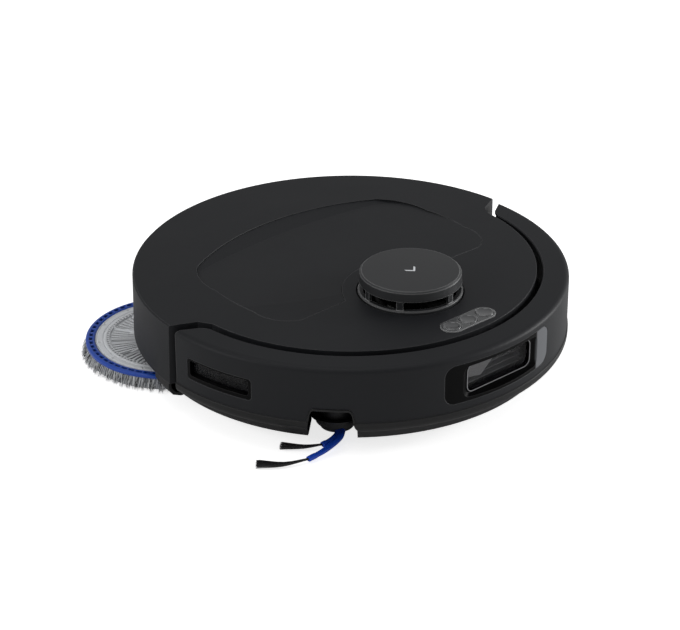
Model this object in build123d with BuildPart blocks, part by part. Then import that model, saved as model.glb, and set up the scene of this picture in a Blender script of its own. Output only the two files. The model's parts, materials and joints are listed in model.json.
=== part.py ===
"""Round robot vacuum and mop: a low drum with a lidar turret, a floating bumper and swing-out pad.

Frame: +Z up, the origin on the floor under the middle of the drum, the front towards -Y,
the machine's own right towards -X. Millimetres.
"""
from build123d import *
import os
from math import atan2, cos, degrees, radians, sin, sqrt

os.makedirs("parts", exist_ok=True)

# ---- drum -------------------------------------------------------------------------------
BODY_R = 176.5          # rear shell at its top edge
SKIRT_R = 177.4         # the same wall at its lower edge
SKIRT_Z = 28.7          # lower edge of the rear shell
CREASE_Z = 79.5         # top edge of the rear wall
DOME_Z = 83.0           # top of the shallow dome
DOME_R = 4500.0         # its radius
WALL = 2.5
DECK_R = 150.0          # front edge of the deck, and of the inner drum wall
FLOOR_Z = 10.0          # underside of the base plate
FLOOR_T = 2.5
NOSE_R = 165.5          # base plate edge under the bumper
TAIL_R = 173.6          # base plate edge under the rear shell
END_DEG = 97.0          # where the two edges meet, from the front

# ---- bumper -----------------------------------------------------------------------------
BUMPER_R = 176.2
BUMPER_IN = 155.1       # inner edge of its top ledge
LEDGE_Z = 79.4
TRIM_Z = 33.0           # top of the soft strip
TRIM_LOW = 24.0

# ---- turret and buttons -------------------------------------------------------------------
TURRET_Y = -70.0
CAP_R = 40.2
CAP_Z = 91.2
TURRET_TOP = 100.8
RING_TOP = 84.2
POST_DEG = (-100, -55, 8, 53, 116, 197)
PANEL_Y = -135.0
PANEL_L, PANEL_W = 53.0, 18.5
BUTTON_PITCH = 17.5
BUTTON_R = 7.2

# ---- cover and dust bin ---------------------------------------------------------------------
GAP = 0.35              # seam round the cover
COVER_LOW = 76.4
DIP_FRONT_Y, DIP_REAR_Y = -45.0, 82.0
DIP_DEPTH = 3.7
COVER_SKIN = 2.2
COVER_POCKET = (202.0, 76.0, 26.0)    # width, depth and middle of the hollow under it
BIN_X = 78.0            # half width
BIN_Y = (19.5, 80.0)
BIN_Z = (44.0, 74.6)
BIN_T = 1.6

# ---- running gear ---------------------------------------------------------------------------
WHEEL_Y, WHEEL_R, WHEEL_W = -9.0, 33.0, 22.0
WHEEL_X = 119.0
PIVOT_Y, PIVOT_Z = -52.0, 30.0
PIN_R = 2.5
CASTER_Y, CASTER_R, CASTER_TRAIL = -124.0, 12.5, 6.5
ROLLER_Y, ROLLER_Z, ROLLER_R = -20.5, 20.5, 19.3
ROLLER_L = 141.0
BRUSH_R, BRUSH_DEG = 126.0, -46.8   # side brush axis, in polar form from the front

# ---- mops -----------------------------------------------------------------------------------
PAD_OUT = (-110.5, 99.0)            # right pad, swung out as it rests
PAD_IN = (-75.5, 87.0)              # right pad, swung in
PAD_LEFT = (75.5, 87.0)
ARM_REACH = 46.7
RING_R, PLATE_R, TUFT_R = 69.6, 58.0, 73.5
PAD_TOP = 14.0
BAY_Z = 39.0                        # ceiling of the mop bay
BAY_R = 77.0
GEARBOX_Z = (24.5, 38.6)


def dome(radius, drop=0.0):
    """Height of the deck surface at a distance from the middle."""
    return DOME_Z - drop - DOME_R + sqrt(DOME_R ** 2 - radius ** 2)


def polar(radius, deg, z=0.0):
    """A point given by its radius and its bearing from the front, positive towards +X."""
    return (radius * sin(radians(deg)), -radius * cos(radians(deg)), z)


def ray(deg):
    """The upright plane through the middle and a bearing: local x runs outwards, local y up."""
    out = Vector(*polar(1.0, deg))
    return Plane(origin=(0, 0, 0), x_dir=out, z_dir=out.cross(Vector(0, 0, 1)))


def across(x):
    """The upright plane across the machine at x: local x runs back, local y up."""
    return Plane(origin=(x, 0, 0), x_dir=(0, 1, 0), z_dir=(1, 0, 0))


def finish(builder, name):
    """Labels a finished piece and writes its file."""
    builder.part.label = name
    export_step(builder.part, f"parts/{name}.step")


def turned(points, first_deg, arc_deg):
    """A closed profile of (radius, z) points turned about the middle from one bearing."""
    with BuildPart(mode=Mode.PRIVATE) as body:
        with BuildSketch(ray(first_deg)):
            with BuildLine():
                Polyline(*points, close=True)
            make_face()
        revolve(axis=Axis.Z, revolution_arc=arc_deg)
    return body.part


def plan_prism(points, low, high):
    """An upright prism over a closed outline of straight runs."""
    with BuildPart(mode=Mode.PRIVATE) as body:
        with BuildSketch(Plane.XY.offset(low)):
            with BuildLine():
                Polyline(*points, close=True)
            make_face()
        extrude(amount=high - low)
    return body.part


def block(x, y, z):
    """A plain box between two values on each axis."""
    with BuildPart(mode=Mode.PRIVATE) as body:
        with BuildSketch(Plane.XY.offset(z[0])):
            with Locations(((x[0] + x[1]) / 2, (y[0] + y[1]) / 2)):
                Rectangle(x[1] - x[0], y[1] - y[0])
        extrude(amount=z[1] - z[0])
    return body.part


def disc(centre, radius, z):
    """A plain cylinder on a point in plan, between two heights."""
    with BuildPart(mode=Mode.PRIVATE) as body:
        with BuildSketch(Plane.XY.offset(z[0])):
            with Locations(centre):
                Circle(radius)
        extrude(amount=z[1] - z[0])
    return body.part


# ---- outlines ---------------------------------------------------------------------------------
SHELL_END = (176.0, 13.6)           # corner of the rear shell where the bumper ends
NECK = (155.5, 2.6)                 # inner end of that step
DECK_END = polar(DECK_R, 86.9)[:2]


def housing_plan(inset, height):
    """Plan of the drum: wide behind, stepped in at both sides to the front deck edge."""
    far = 200.0
    with BuildSketch(Plane.XY.offset(height), mode=Mode.PRIVATE) as plan:
        with BuildLine():
            front = ThreePointArc((-DECK_END[0], DECK_END[1]), (0, -DECK_R), DECK_END)
            Polyline(DECK_END, NECK, SHELL_END, (far, 26.5), (far, far), (-far, far), (-far, 26.5),
                     (-SHELL_END[0], SHELL_END[1]), (-NECK[0], NECK[1]), (-DECK_END[0], DECK_END[1]))
        make_face()
        if inset:
            offset(amount=-inset, kind=Kind.INTERSECTION)
    return plan.sketch


def envelope(inset):
    """The outer form of the drum, turned: flared wall, soft crease and dome."""
    edge = BODY_R - inset
    low = SKIRT_Z - (5.0 if inset else 0.0)
    with BuildPart(mode=Mode.PRIVATE) as body:
        with BuildSketch(Plane.XZ):
            with BuildLine():
                Line((0, low), (SKIRT_R - inset, low))
                Line((SKIRT_R - inset, low), (edge, CREASE_Z - 1.2 - inset))
                Line((edge, CREASE_Z - 1.2 - inset), (edge - 1.2, dome(edge - 1.2, inset)))
                ThreePointArc((edge - 1.2, dome(edge - 1.2, inset)), (90, dome(90, inset)),
                              (0, dome(0, inset)))
                Line((0, dome(0, inset)), (0, low))
            make_face()
        revolve(axis=Axis.Z)
    return body.part


def cover_plan(inset, height):
    """Plan of the top cover: round the turret in front, wide corners, one long arc behind."""
    notch_r, front = 54.4, -50.0
    notch = (sqrt(notch_r ** 2 - (front - TURRET_Y) ** 2), front)
    with BuildSketch(Plane.XY.offset(height), mode=Mode.PRIVATE) as plan:
        with BuildLine():
            ThreePointArc((-notch[0], front), (0, TURRET_Y + notch_r), notch)
            Line(notch, (96.0, front))
            ThreePointArc((96.0, front), (109.0, -39.5), (114.4, -15.0))
            ThreePointArc((114.4, -15.0), (115.6, 8.0), (113.4, 32.0))
            ThreePointArc((113.4, 32.0), (109.6, 58.0), (97.4, 76.1))
            ThreePointArc((97.4, 76.1), (0, 101.0), (-97.4, 76.1))
            ThreePointArc((-97.4, 76.1), (-109.6, 58.0), (-113.4, 32.0))
            ThreePointArc((-113.4, 32.0), (-115.6, 8.0), (-114.4, -15.0))
            ThreePointArc((-114.4, -15.0), (-109.0, -39.5), (-96.0, front))
            Line((-96.0, front), (-notch[0], front))
        make_face()
        fillet([v for v in plan.vertices() if abs(abs(v.X) - notch[0]) < 0.5], 3.0)
        fillet([v for v in plan.vertices() if abs(abs(v.X) - 97.4) < 0.5 and v.Y > 70], 6.0)
        if inset:
            offset(amount=-inset, kind=Kind.INTERSECTION)
    return plan.sketch


def prism(sketch, height):
    """An upright prism over a finished sketch."""
    with BuildPart(mode=Mode.PRIVATE) as body:
        add(sketch)
        extrude(amount=height)
    return body.part


def bay_plan(margin, height):
    """Plan of the mop bay: the room both pads sweep, joined across the middle."""
    with BuildSketch(Plane.XY.offset(height), mode=Mode.PRIVATE) as plan:
        with Locations(PAD_OUT, PAD_IN, PAD_LEFT):
            Circle(BAY_R + margin)
        with Locations((0, 120)):
            Rectangle(44 + 2 * margin, 150 + 2 * margin)
        with Locations((-93, 130), (75, 150), (0, 175)):
            Rectangle(120, 90)
    return plan.sketch


# ---- rear shell and deck ------------------------------------------------------------------------
GRILLE_W, GRILLE_Z = 60.0, (50.0, 66.0)
CONTACT_X, CONTACT_Z = 31.0, 45.0
CONTACT_W, CONTACT_H = 18.0, 6.4
CONTACT_FACE = 171.9

with BuildPart() as housing_hollow:
    add(envelope(WALL))
    add(prism(housing_plan(WALL, SKIRT_Z - 30), 110), mode=Mode.INTERSECT)

with BuildPart() as top_housing:
    add(envelope(0))
    add(prism(housing_plan(0, SKIRT_Z - 20), 90), mode=Mode.INTERSECT)
    add(housing_hollow.part, mode=Mode.SUBTRACT)
    add(prism(cover_plan(-GAP, COVER_LOW - 10), 30), mode=Mode.SUBTRACT)
    add(disc((0, TURRET_Y), 42.8, (70, 90)), mode=Mode.SUBTRACT)
    with BuildSketch(Plane.XY.offset(70)):
        with Locations((0, PANEL_Y)):
            SlotOverall(PANEL_L + 0.5, PANEL_W + 0.5)
    extrude(amount=20, mode=Mode.SUBTRACT)
    add(block((-GRILLE_W / 2, GRILLE_W / 2), (160, 185), GRILLE_Z), mode=Mode.SUBTRACT)
    for side in (-1, 1):
        add(block(sorted((side * (CONTACT_X - CONTACT_W / 2), side * (CONTACT_X + CONTACT_W / 2))),
                  (160, 185), (CONTACT_Z - CONTACT_H / 2, CONTACT_Z + CONTACT_H / 2)),
            mode=Mode.SUBTRACT)
finish(top_housing, "top_housing")

# ---- top cover ------------------------------------------------------------------------------------
DIP_TILT = degrees(atan2(DIP_DEPTH, DIP_REAR_Y - DIP_FRONT_Y))
DIP = Plane(origin=(0, DIP_FRONT_Y, dome(-DIP_FRONT_Y))).rotated((-DIP_TILT, 0, 0))


def dip_cutter():
    """The shallow scoop in the cover: a tilted floor with a wide ramp up to the rear edge."""
    rise = 8.0
    widen = 1.0 + rise / DIP_DEPTH
    with BuildPart(mode=Mode.PRIVATE) as body:
        for step, lift in ((0.0, 0.0), (widen, rise)):
            ends, middle = 66.0 + 9.0 * step, 82.0 + 18.5 * step
            with BuildSketch(DIP.offset(lift)):
                with BuildLine():
                    ThreePointArc((-120, ends - DIP_FRONT_Y), (0, middle - DIP_FRONT_Y),
                                  (120, ends - DIP_FRONT_Y))
                    Polyline((120, ends - DIP_FRONT_Y), (120, 0), (-120, 0),
                             (-120, ends - DIP_FRONT_Y))
                make_face()
        loft(ruled=True)
    return body.part


with BuildPart() as top_cover:
    add(envelope(0))
    add(prism(cover_plan(0, COVER_LOW), 20), mode=Mode.INTERSECT)
    add(dip_cutter(), mode=Mode.SUBTRACT)
    with BuildSketch(DIP.offset(-COVER_SKIN)):
        with Locations((0, COVER_POCKET[2] - DIP_FRONT_Y)):
            RectangleRounded(COVER_POCKET[0], COVER_POCKET[1], 8)
    extrude(amount=-10, mode=Mode.SUBTRACT)
finish(top_cover, "top_cover")

# ---- bumper -----------------------------------------------------------------------------------------
BUMPER_END = ((190.0, 14.6), (159.0, -5.8), (156.6, -9.5), (148.0, -30.0))


def bumper_mask(low, high):
    """Everything in front of the two slanted ends of the bumper, as an upright prism."""
    right = list(BUMPER_END)
    left = [(-x, y) for x, y in reversed(right)]
    front = [(-190.0, -190.0), (190.0, -190.0)]
    return plan_prism(right + left + front, low, high)


def notch_prism(grow, low):
    """The arched gap for the side brush: a straight tunnel along its bearing."""
    with BuildPart(mode=Mode.PRIVATE) as body:
        with BuildSketch(Plane(origin=polar(150, BRUSH_DEG), x_dir=Vector(*polar(1, BRUSH_DEG + 90)),
                               z_dir=Vector(*polar(1, BRUSH_DEG)))):
            with BuildLine():
                Line((-30, low), (-24.5 - grow, low))
                Spline((-24.5 - grow, low), (-17.5 - grow, 31.0), (-13.5, 43.0 + grow),
                       tangents=[(1, 0.35), (0.75, 0.35)])
                Line((-13.5, 43.0 + grow), (13.5, 43.0 + grow))
                Spline((13.5, 43.0 + grow), (17.5 + grow, 31.0), (24.5 + grow, low),
                       tangents=[(0.75, -0.35), (1, -0.35)])
                Line((24.5 + grow, low), (30, low))
                Polyline((30, low), (30, low - 20), (-30, low - 20), (-30, low))
            make_face()
        extrude(amount=40)
    return body.part


WINDOW_DEG, WINDOW_Z = 18.3, (39.0, 72.0)
PANE_DEG, PANE_Z = 11.0, (43.8, 67.0)
SIDE_DEG, SIDE_Z = (-87.2, -67.1), (43.0, 61.0)


def wall_window(deg, z, corner, deep):
    """A rounded slot through the bumper wall, facing the middle of its bearing range."""
    middle = (deg[0] + deg[1]) / 2
    width = 2 * BUMPER_R * sin(radians((deg[1] - deg[0]) / 2))
    with BuildPart(mode=Mode.PRIVATE) as body:
        with BuildSketch(Plane(origin=polar(deep, middle, (z[0] + z[1]) / 2),
                               x_dir=Vector(*polar(1, middle + 90)),
                               z_dir=Vector(*polar(1, middle)))):
            RectangleRounded(width, z[1] - z[0], corner)
        extrude(amount=60)
    return body.part


INNER = BUMPER_R - WALL
SHOULDER = [(BUMPER_R, 74.5), (175.6, 76.6), (174.0, 78.0), (171.0, 78.7)]
with BuildPart() as bumper_shell:
    with BuildSketch(Plane.XZ):
        with BuildLine():
            Line((BUMPER_R, 31.0), SHOULDER[0])
            Spline(*SHOULDER, tangents=[(0, 1), (-1, 0.05)])
            Line(SHOULDER[-1], (BUMPER_IN + 0.8, LEDGE_Z))
            Line((BUMPER_IN + 0.8, LEDGE_Z), (BUMPER_IN, LEDGE_Z - 0.7))
            Line((BUMPER_IN, LEDGE_Z - 0.7), (BUMPER_IN, LEDGE_Z - 8.0))
            Line((BUMPER_IN, LEDGE_Z - 8.0), (BUMPER_IN + 2.0, LEDGE_Z - 8.0))
            Line((BUMPER_IN + 2.0, LEDGE_Z - 8.0), (BUMPER_IN + 2.0, LEDGE_Z - WALL))
            Line((BUMPER_IN + 2.0, LEDGE_Z - WALL), (INNER - 2.0, 76.2))
            ThreePointArc((INNER - 2.0, 76.2), (INNER - 0.5, 75.6), (INNER, 74.0))
            Line((INNER, 74.0), (INNER, 31.0))
            Line((INNER, 31.0), (BUMPER_R, 31.0))
        make_face()
    revolve(axis=Axis.Z)
    add(bumper_mask(0, 120), mode=Mode.INTERSECT)
    add(notch_prism(1.6, 24.0), mode=Mode.SUBTRACT)
    add(wall_window((-WINDOW_DEG, WINDOW_DEG), WINDOW_Z, 9, 140), mode=Mode.SUBTRACT)
    add(wall_window(SIDE_DEG, SIDE_Z, 3, 140), mode=Mode.SUBTRACT)
finish(bumper_shell, "bumper_shell")

TRIM_R = 177.0
with BuildPart() as trim_band:
    with BuildSketch(Plane.XZ):
        with BuildLine():
            Polyline((BUMPER_R, 31.0), (BUMPER_R, TRIM_Z), (TRIM_R, TRIM_Z - 0.6), (TRIM_R, 29.0))
            ThreePointArc((TRIM_R, 29.0), (175.8, 26.0), (172.8, TRIM_LOW))
            Polyline((172.8, TRIM_LOW), (170.9, TRIM_LOW + 0.6), (INNER - 0.4, 28.4), (INNER, 31.0),
                     (BUMPER_R, 31.0))
        make_face()
    revolve(axis=Axis.Z)
    add(bumper_mask(0, 120), mode=Mode.INTERSECT)
    add(notch_prism(0, 24.0), mode=Mode.SUBTRACT)

with BuildPart() as trim_arch:
    add(turned([(INNER, TRIM_Z), (TRIM_R, TRIM_Z), (TRIM_R, 60), (INNER, 60)], BRUSH_DEG - 12, 24))
    add(notch_prism(1.55, 24.0), mode=Mode.INTERSECT)
    add(notch_prism(0, 24.0), mode=Mode.SUBTRACT)

with BuildPart() as bumper_trim:
    add(trim_band.part)
    add(trim_arch.part)
finish(bumper_trim, "bumper_trim")

FRAME_IN = 168.0
with BuildPart() as window_frame:
    add(turned([(FRAME_IN, WINDOW_Z[0] - 2), (BUMPER_R - 0.1, WINDOW_Z[0] - 2),
                (BUMPER_R - 0.1, WINDOW_Z[1] + 2), (FRAME_IN, WINDOW_Z[1] + 2)],
               -WINDOW_DEG - 2, 2 * WINDOW_DEG + 4))
    add(wall_window((-WINDOW_DEG + 0.1, WINDOW_DEG - 0.1), (WINDOW_Z[0] + 0.3, WINDOW_Z[1] - 0.3),
                    8.8, 140), mode=Mode.INTERSECT)
    with BuildSketch(Plane(origin=(0, -180, (WINDOW_Z[0] + WINDOW_Z[1]) / 2), x_dir=(1, 0, 0),
                           z_dir=(0, 1, 0))):
        RectangleRounded(107, 29.5, 7.5)
    with BuildSketch(Plane(origin=(0, -169, (PANE_Z[0] + PANE_Z[1]) / 2), x_dir=(1, 0, 0),
                           z_dir=(0, 1, 0))):
        RectangleRounded(71, 25, 6)
    loft(mode=Mode.SUBTRACT)
    with BuildSketch(Plane(origin=(0, -180, (PANE_Z[0] + PANE_Z[1]) / 2), x_dir=(1, 0, 0),
                           z_dir=(0, 1, 0))):
        RectangleRounded(67, PANE_Z[1] - PANE_Z[0], 5)
    extrude(amount=40, mode=Mode.SUBTRACT)

with BuildPart() as front_pane:
    with BuildSketch(Plane(origin=(0, -167.6, (PANE_Z[0] + PANE_Z[1]) / 2), x_dir=(1, 0, 0),
                           z_dir=(0, 1, 0))):
        RectangleRounded(66.6, PANE_Z[1] - PANE_Z[0] - 0.4, 4.8)
    extrude(amount=1.5)

SIDE_MID = (SIDE_DEG[0] + SIDE_DEG[1]) / 2
SIDE_INSET = 0.9
with BuildPart() as side_frame:
    add(turned([(170.5, SIDE_Z[0] - 2), (BUMPER_R - 0.2, SIDE_Z[0] - 2),
                (BUMPER_R - 0.2, SIDE_Z[1] + 2), (170.5, SIDE_Z[1] + 2)],
               SIDE_DEG[0] - 2, SIDE_DEG[1] - SIDE_DEG[0] + 4))
    add(wall_window((SIDE_DEG[0] + 0.1, SIDE_DEG[1] - 0.1), (SIDE_Z[0] + 0.3, SIDE_Z[1] - 0.3),
                    2.8, 140), mode=Mode.INTERSECT)
    add(wall_window((SIDE_DEG[0] + SIDE_INSET, SIDE_DEG[1] - SIDE_INSET),
                    (SIDE_Z[0] + 3.4, SIDE_Z[1] - 1.5), 2, 140), mode=Mode.SUBTRACT)

with BuildPart() as window_frames:
    add(window_frame.part)
    add(side_frame.part)
finish(window_frames, "window_frames")

with BuildPart() as side_pane:
    add(turned([(171.2, SIDE_Z[0] + 2), (172.7, SIDE_Z[0] + 2),
                (172.7, SIDE_Z[1]), (171.2, SIDE_Z[1])],
               SIDE_DEG[0], SIDE_DEG[1] - SIDE_DEG[0]))
    add(wall_window((SIDE_DEG[0] + SIDE_INSET + 0.05, SIDE_DEG[1] - SIDE_INSET - 0.05),
                    (SIDE_Z[0] + 3.5, SIDE_Z[1] - 1.6), 1.9, 140), mode=Mode.INTERSECT)

with BuildPart() as window_panes:
    add(front_pane.part)
    add(side_pane.part)
finish(window_panes, "window_panes")

# ---- base plate -----------------------------------------------------------------------------------
WELL_X = (86.0, 132.0)
WELL_Y = (-60.0, 26.5)
WELL_Z = 67.5
WELL_BACK = 6.0         # behind this the well opens into the mop bay
WELL_T = 1.5
CHAMBER_Y = (-45.0, 4.0)
CHAMBER_X = 72.5
CHAMBER_Z = 41.0
CHAMBER_T = 2.0
BAY = ((24.0, 84.0), (-112.0, -67.0))
POCKET_R = 21.5
STEM_R = 4.0
SIDE_HOLE_R = 20.0
BRUSH_SLOT = 19.0       # half width of the open way from the side brush to the edge
SIDE_BRUSH = polar(BRUSH_R, BRUSH_DEG)[:2]
SCREWS = [(0, 36), (-50, -120), (-34, -76), (100, -82), (60, -126), (-40, 14), (40, 14),
          (-126, -76), (126, -72), (0, -76)]
LID_SCREWS = [(28.5, -108.5), (79.5, -108.5)]
FRONT_EDGE = [(0, FLOOR_Z), (156.0, FLOOR_Z), (163.0, 13.0), (NOSE_R, 19.0), (NOSE_R, 28.2),
              (0, 28.2)]
FRONT_HOLLOW = [(0, FLOOR_Z + FLOOR_T), (155.4, FLOOR_Z + FLOOR_T), (161.0, 15.2),
                (NOSE_R - WALL, 19.5), (NOSE_R - WALL, 30), (0, 30)]
REAR_EDGE = [(0, FLOOR_Z), (163.0, FLOOR_Z), (170.0, 13.0), (TAIL_R, 19.0), (TAIL_R, 28.7),
             (0, 28.7)]
REAR_HOLLOW = [(0, FLOOR_Z + FLOOR_T), (162.4, FLOOR_Z + FLOOR_T), (168.2, 15.2),
               (TAIL_R - WALL, 19.5), (TAIL_R - WALL, 30), (0, 30)]


def both(x, side):
    """A range of x on one side of the machine, in rising order."""
    return tuple(sorted((side * x[0], side * x[1])))


with BuildPart() as base_plate:
    add(turned(FRONT_EDGE, -END_DEG, 2 * END_DEG))
    add(turned(REAR_EDGE, END_DEG, 360 - 2 * END_DEG))
    add(turned(FRONT_HOLLOW, -END_DEG, 2 * END_DEG), mode=Mode.SUBTRACT)
    add(turned(REAR_HOLLOW, END_DEG, 360 - 2 * END_DEG), mode=Mode.SUBTRACT)
    with Locations([(x, y, FLOOR_Z + FLOOR_T) for x, y in SCREWS]):
        Cylinder(4.6, 14, align=(Align.CENTER, Align.CENTER, Align.MIN))
    with Locations([(x, y, FLOOR_Z) for x, y in SCREWS]):
        Cylinder(3.2, 1.9, align=(Align.CENTER, Align.CENTER, Align.MIN), mode=Mode.SUBTRACT)
        Cylinder(1.6, 14.5, align=(Align.CENTER, Align.CENTER, Align.MIN), mode=Mode.SUBTRACT)
    add(prism(bay_plan(2.2, FLOOR_Z - 1), 30), mode=Mode.SUBTRACT)
    for side in (-1, 1):
        add(block(both((WELL_X[0] - WELL_T, WELL_X[1] + WELL_T), side),
                  (WELL_Y[0] - WELL_T, WELL_Y[1] + 6), (0, 40)), mode=Mode.SUBTRACT)
    add(block((-CHAMBER_X - 2, CHAMBER_X + 2), (CHAMBER_Y[0] - 2, CHAMBER_Y[1] + 2), (0, 40)),
        mode=Mode.SUBTRACT)
    add(block(*BAY, (0, 40)), mode=Mode.SUBTRACT)
    add(disc((0, CASTER_Y), POCKET_R + 1.4, (FLOOR_Z, 31)))
    add(disc((0, CASTER_Y), 8, (31, 46)))
    add(disc((0, CASTER_Y), POCKET_R, (0, 29.6)), mode=Mode.SUBTRACT)
    add(disc((0, CASTER_Y), STEM_R + 0.05, (0, 44)), mode=Mode.SUBTRACT)
    add(disc(SIDE_BRUSH, SIDE_HOLE_R, (0, 40)), mode=Mode.SUBTRACT)
    with BuildSketch(Plane.XY):
        with Locations(polar(BRUSH_R + 30, BRUSH_DEG)[:2]):
            Rectangle(60, 2 * BRUSH_SLOT, rotation=BRUSH_DEG - 90)
    extrude(amount=40, mode=Mode.SUBTRACT)
finish(base_plate, "base_plate")

# ---- bays and wells inside ------------------------------------------------------------------------
CHORD = (PAD_IN[0] - PAD_OUT[0], PAD_IN[1] - PAD_OUT[1])
CHORD_L = sqrt(CHORD[0] ** 2 + CHORD[1] ** 2)
SWING = degrees(2 * atan2(CHORD_L / 2, sqrt(ARM_REACH ** 2 - (CHORD_L / 2) ** 2)))
SETBACK = sqrt(ARM_REACH ** 2 - (CHORD_L / 2) ** 2)
ARM_PIVOT = ((PAD_IN[0] + PAD_OUT[0]) / 2 + SETBACK * CHORD[1] / CHORD_L,
             (PAD_IN[1] + PAD_OUT[1]) / 2 - SETBACK * CHORD[0] / CHORD_L)
print("mop arm pivot", ARM_PIVOT, "swing", SWING)
PIVOT_PIN_R = 5.0
BAY_T = 2.0
BAY_EDGE_R = 172.5
with BuildPart() as mop_bay:
    add(prism(bay_plan(2.2, FLOOR_Z + FLOOR_T), BAY_Z + BAY_T - FLOOR_Z - FLOOR_T))
    add(disc((0, 0), BAY_EDGE_R, (0, 60)), mode=Mode.INTERSECT)
    add(prism(bay_plan(0, 0), BAY_Z), mode=Mode.SUBTRACT)
    add(turned([(BAY_EDGE_R - 6, 0), (BAY_EDGE_R + 6, 0), (BAY_EDGE_R + 6, BAY_Z),
                (BAY_EDGE_R - 6, BAY_Z)], 0, 360), mode=Mode.SUBTRACT)
    for side in (-1, 1):
        add(block(both((WELL_X[0] - WELL_T - 0.3, WELL_X[1] + 60), side),
                  (-80, WELL_Y[1] + WELL_T + 0.3), (0, 60)), mode=Mode.SUBTRACT)
    add(disc(ARM_PIVOT, PIVOT_PIN_R + 0.08, (0, 60)), mode=Mode.SUBTRACT)
finish(mop_bay, "mop_bay")

with BuildPart() as wheel_wells:
    for side in (-1, 1):
        add(block(both((WELL_X[0] - WELL_T, WELL_X[1] + WELL_T), side),
                  (WELL_Y[0] - WELL_T, WELL_Y[1] + WELL_T), (FLOOR_Z, WELL_Z + WELL_T)))
        add(block(both(WELL_X, side), WELL_Y, (0, WELL_Z)), mode=Mode.SUBTRACT)
        add(block(both((WELL_X[0] - 5, WELL_X[1] + 5), side), (WELL_BACK, WELL_Y[1] + 5),
                  (0, BAY_Z + BAY_T + 1)), mode=Mode.SUBTRACT)
        with BuildSketch(across(side * 80)):
            with Locations((PIVOT_Y, PIVOT_Z)):
                Circle(PIN_R + 0.05)
        extrude(amount=side * 8, mode=Mode.SUBTRACT)
finish(wheel_wells, "wheel_wells")

DUCT_Y = (CHAMBER_Y[1] + 2.0, BIN_Y[0] - 3.0)
DUCT_T = 1.6
with BuildPart() as brush_chamber:
    add(block((-CHAMBER_X - 2, CHAMBER_X + 2), (CHAMBER_Y[0] - 2, CHAMBER_Y[1] + 2),
              (FLOOR_Z, CHAMBER_Z + 2)))
    add(block((-32, 32), DUCT_Y, (26, 63)))
    add(block((-CHAMBER_X, CHAMBER_X), CHAMBER_Y, (0, CHAMBER_Z)), mode=Mode.SUBTRACT)
    add(block((-30.4, 30.4), (DUCT_Y[0] + DUCT_T, DUCT_Y[1] - DUCT_T), (27.6, 61.4)),
        mode=Mode.SUBTRACT)
    add(block((-30, 30), (CHAMBER_Y[1] - 1, DUCT_Y[0] + 3), (28, 40)), mode=Mode.SUBTRACT)
    add(block((-30, 30), (DUCT_Y[1] - 3, DUCT_Y[1] + 1), (47, 60)), mode=Mode.SUBTRACT)
finish(brush_chamber, "brush_chamber")

# ---- main brush ---------------------------------------------------------------------------------
SHAFT_R, SLEEVE_R = 6.0, 12.0
GUARD_BARS = (-36.0, 0.0, 36.0)
ROLLER_AXIS = Plane(origin=(0, ROLLER_Y, ROLLER_Z), x_dir=(0, 1, 0), z_dir=(1, 0, 0))
with BuildPart() as brush_core:
    with BuildSketch(ROLLER_AXIS.offset(-ROLLER_L / 2)):
        Circle(SHAFT_R)
    extrude(amount=ROLLER_L)
    for start in (-ROLLER_L / 2 + 1.0, ROLLER_L / 2 - 4.0):
        with BuildSketch(ROLLER_AXIS.offset(start)):
            Circle(10.0)
        extrude(amount=3.0)
finish(brush_core, "brush_core")

FINS = 6
FIN_TWIST = 38.0
FIN_SPAN = ROLLER_L / 2 - 4.6
with BuildPart() as brush_fins:
    with BuildSketch(ROLLER_AXIS.offset(-FIN_SPAN)):
        Circle(SLEEVE_R)
    extrude(amount=2 * FIN_SPAN)
    for number in range(FINS):
        for side in (-1, 1):
            for part in range(2):
                for end in (0, 1):
                    share = (part + end) / 2
                    with BuildSketch(ROLLER_AXIS.offset(side * FIN_SPAN * share)):
                        with PolarLocations(0, 1, start_angle=number * 60 + FIN_TWIST * share):
                            with Locations((ROLLER_R - 4.4, 0)):
                                Rectangle(8.4, 2.0)
                loft()
    with BuildSketch(ROLLER_AXIS.offset(-FIN_SPAN)):
        Circle(SHAFT_R + 0.02)
    extrude(amount=2 * FIN_SPAN, mode=Mode.SUBTRACT)
    for x in GUARD_BARS:
        with BuildSketch(ROLLER_AXIS.offset(x - 2.6)):
            Circle(ROLLER_R + 3)
            Circle(SLEEVE_R, mode=Mode.SUBTRACT)
        extrude(amount=5.2, mode=Mode.SUBTRACT)
finish(brush_fins, "brush_fins")

GUARD_LOW, GUARD_T = 8.2, 1.7
with BuildPart() as brush_guard:
    add(block((-CHAMBER_X - 1.5, CHAMBER_X + 1.5), (CHAMBER_Y[0] - 1.8, CHAMBER_Y[1] + 1.8),
              (GUARD_LOW, GUARD_LOW + GUARD_T)))
    add(block((-CHAMBER_X + 3.5, CHAMBER_X - 3.5), (CHAMBER_Y[0] + 0.1, CHAMBER_Y[1] - 0.1), (0, 20)),
        mode=Mode.SUBTRACT)
    for x in GUARD_BARS:
        with BuildSketch(ROLLER_AXIS.offset(x - 1.2)):
            Circle(17.0)
            Circle(14.6, mode=Mode.SUBTRACT)
            with Locations((0, 30 + GUARD_LOW + GUARD_T - ROLLER_Z)):
                Rectangle(60, 60, mode=Mode.SUBTRACT)
            for end in (-1, 1):
                with Locations((end * 18.1, GUARD_LOW + GUARD_T / 2 - ROLLER_Z)):
                    Rectangle(13.2, GUARD_T)
        extrude(amount=2.4)
finish(brush_guard, "brush_guard")

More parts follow.
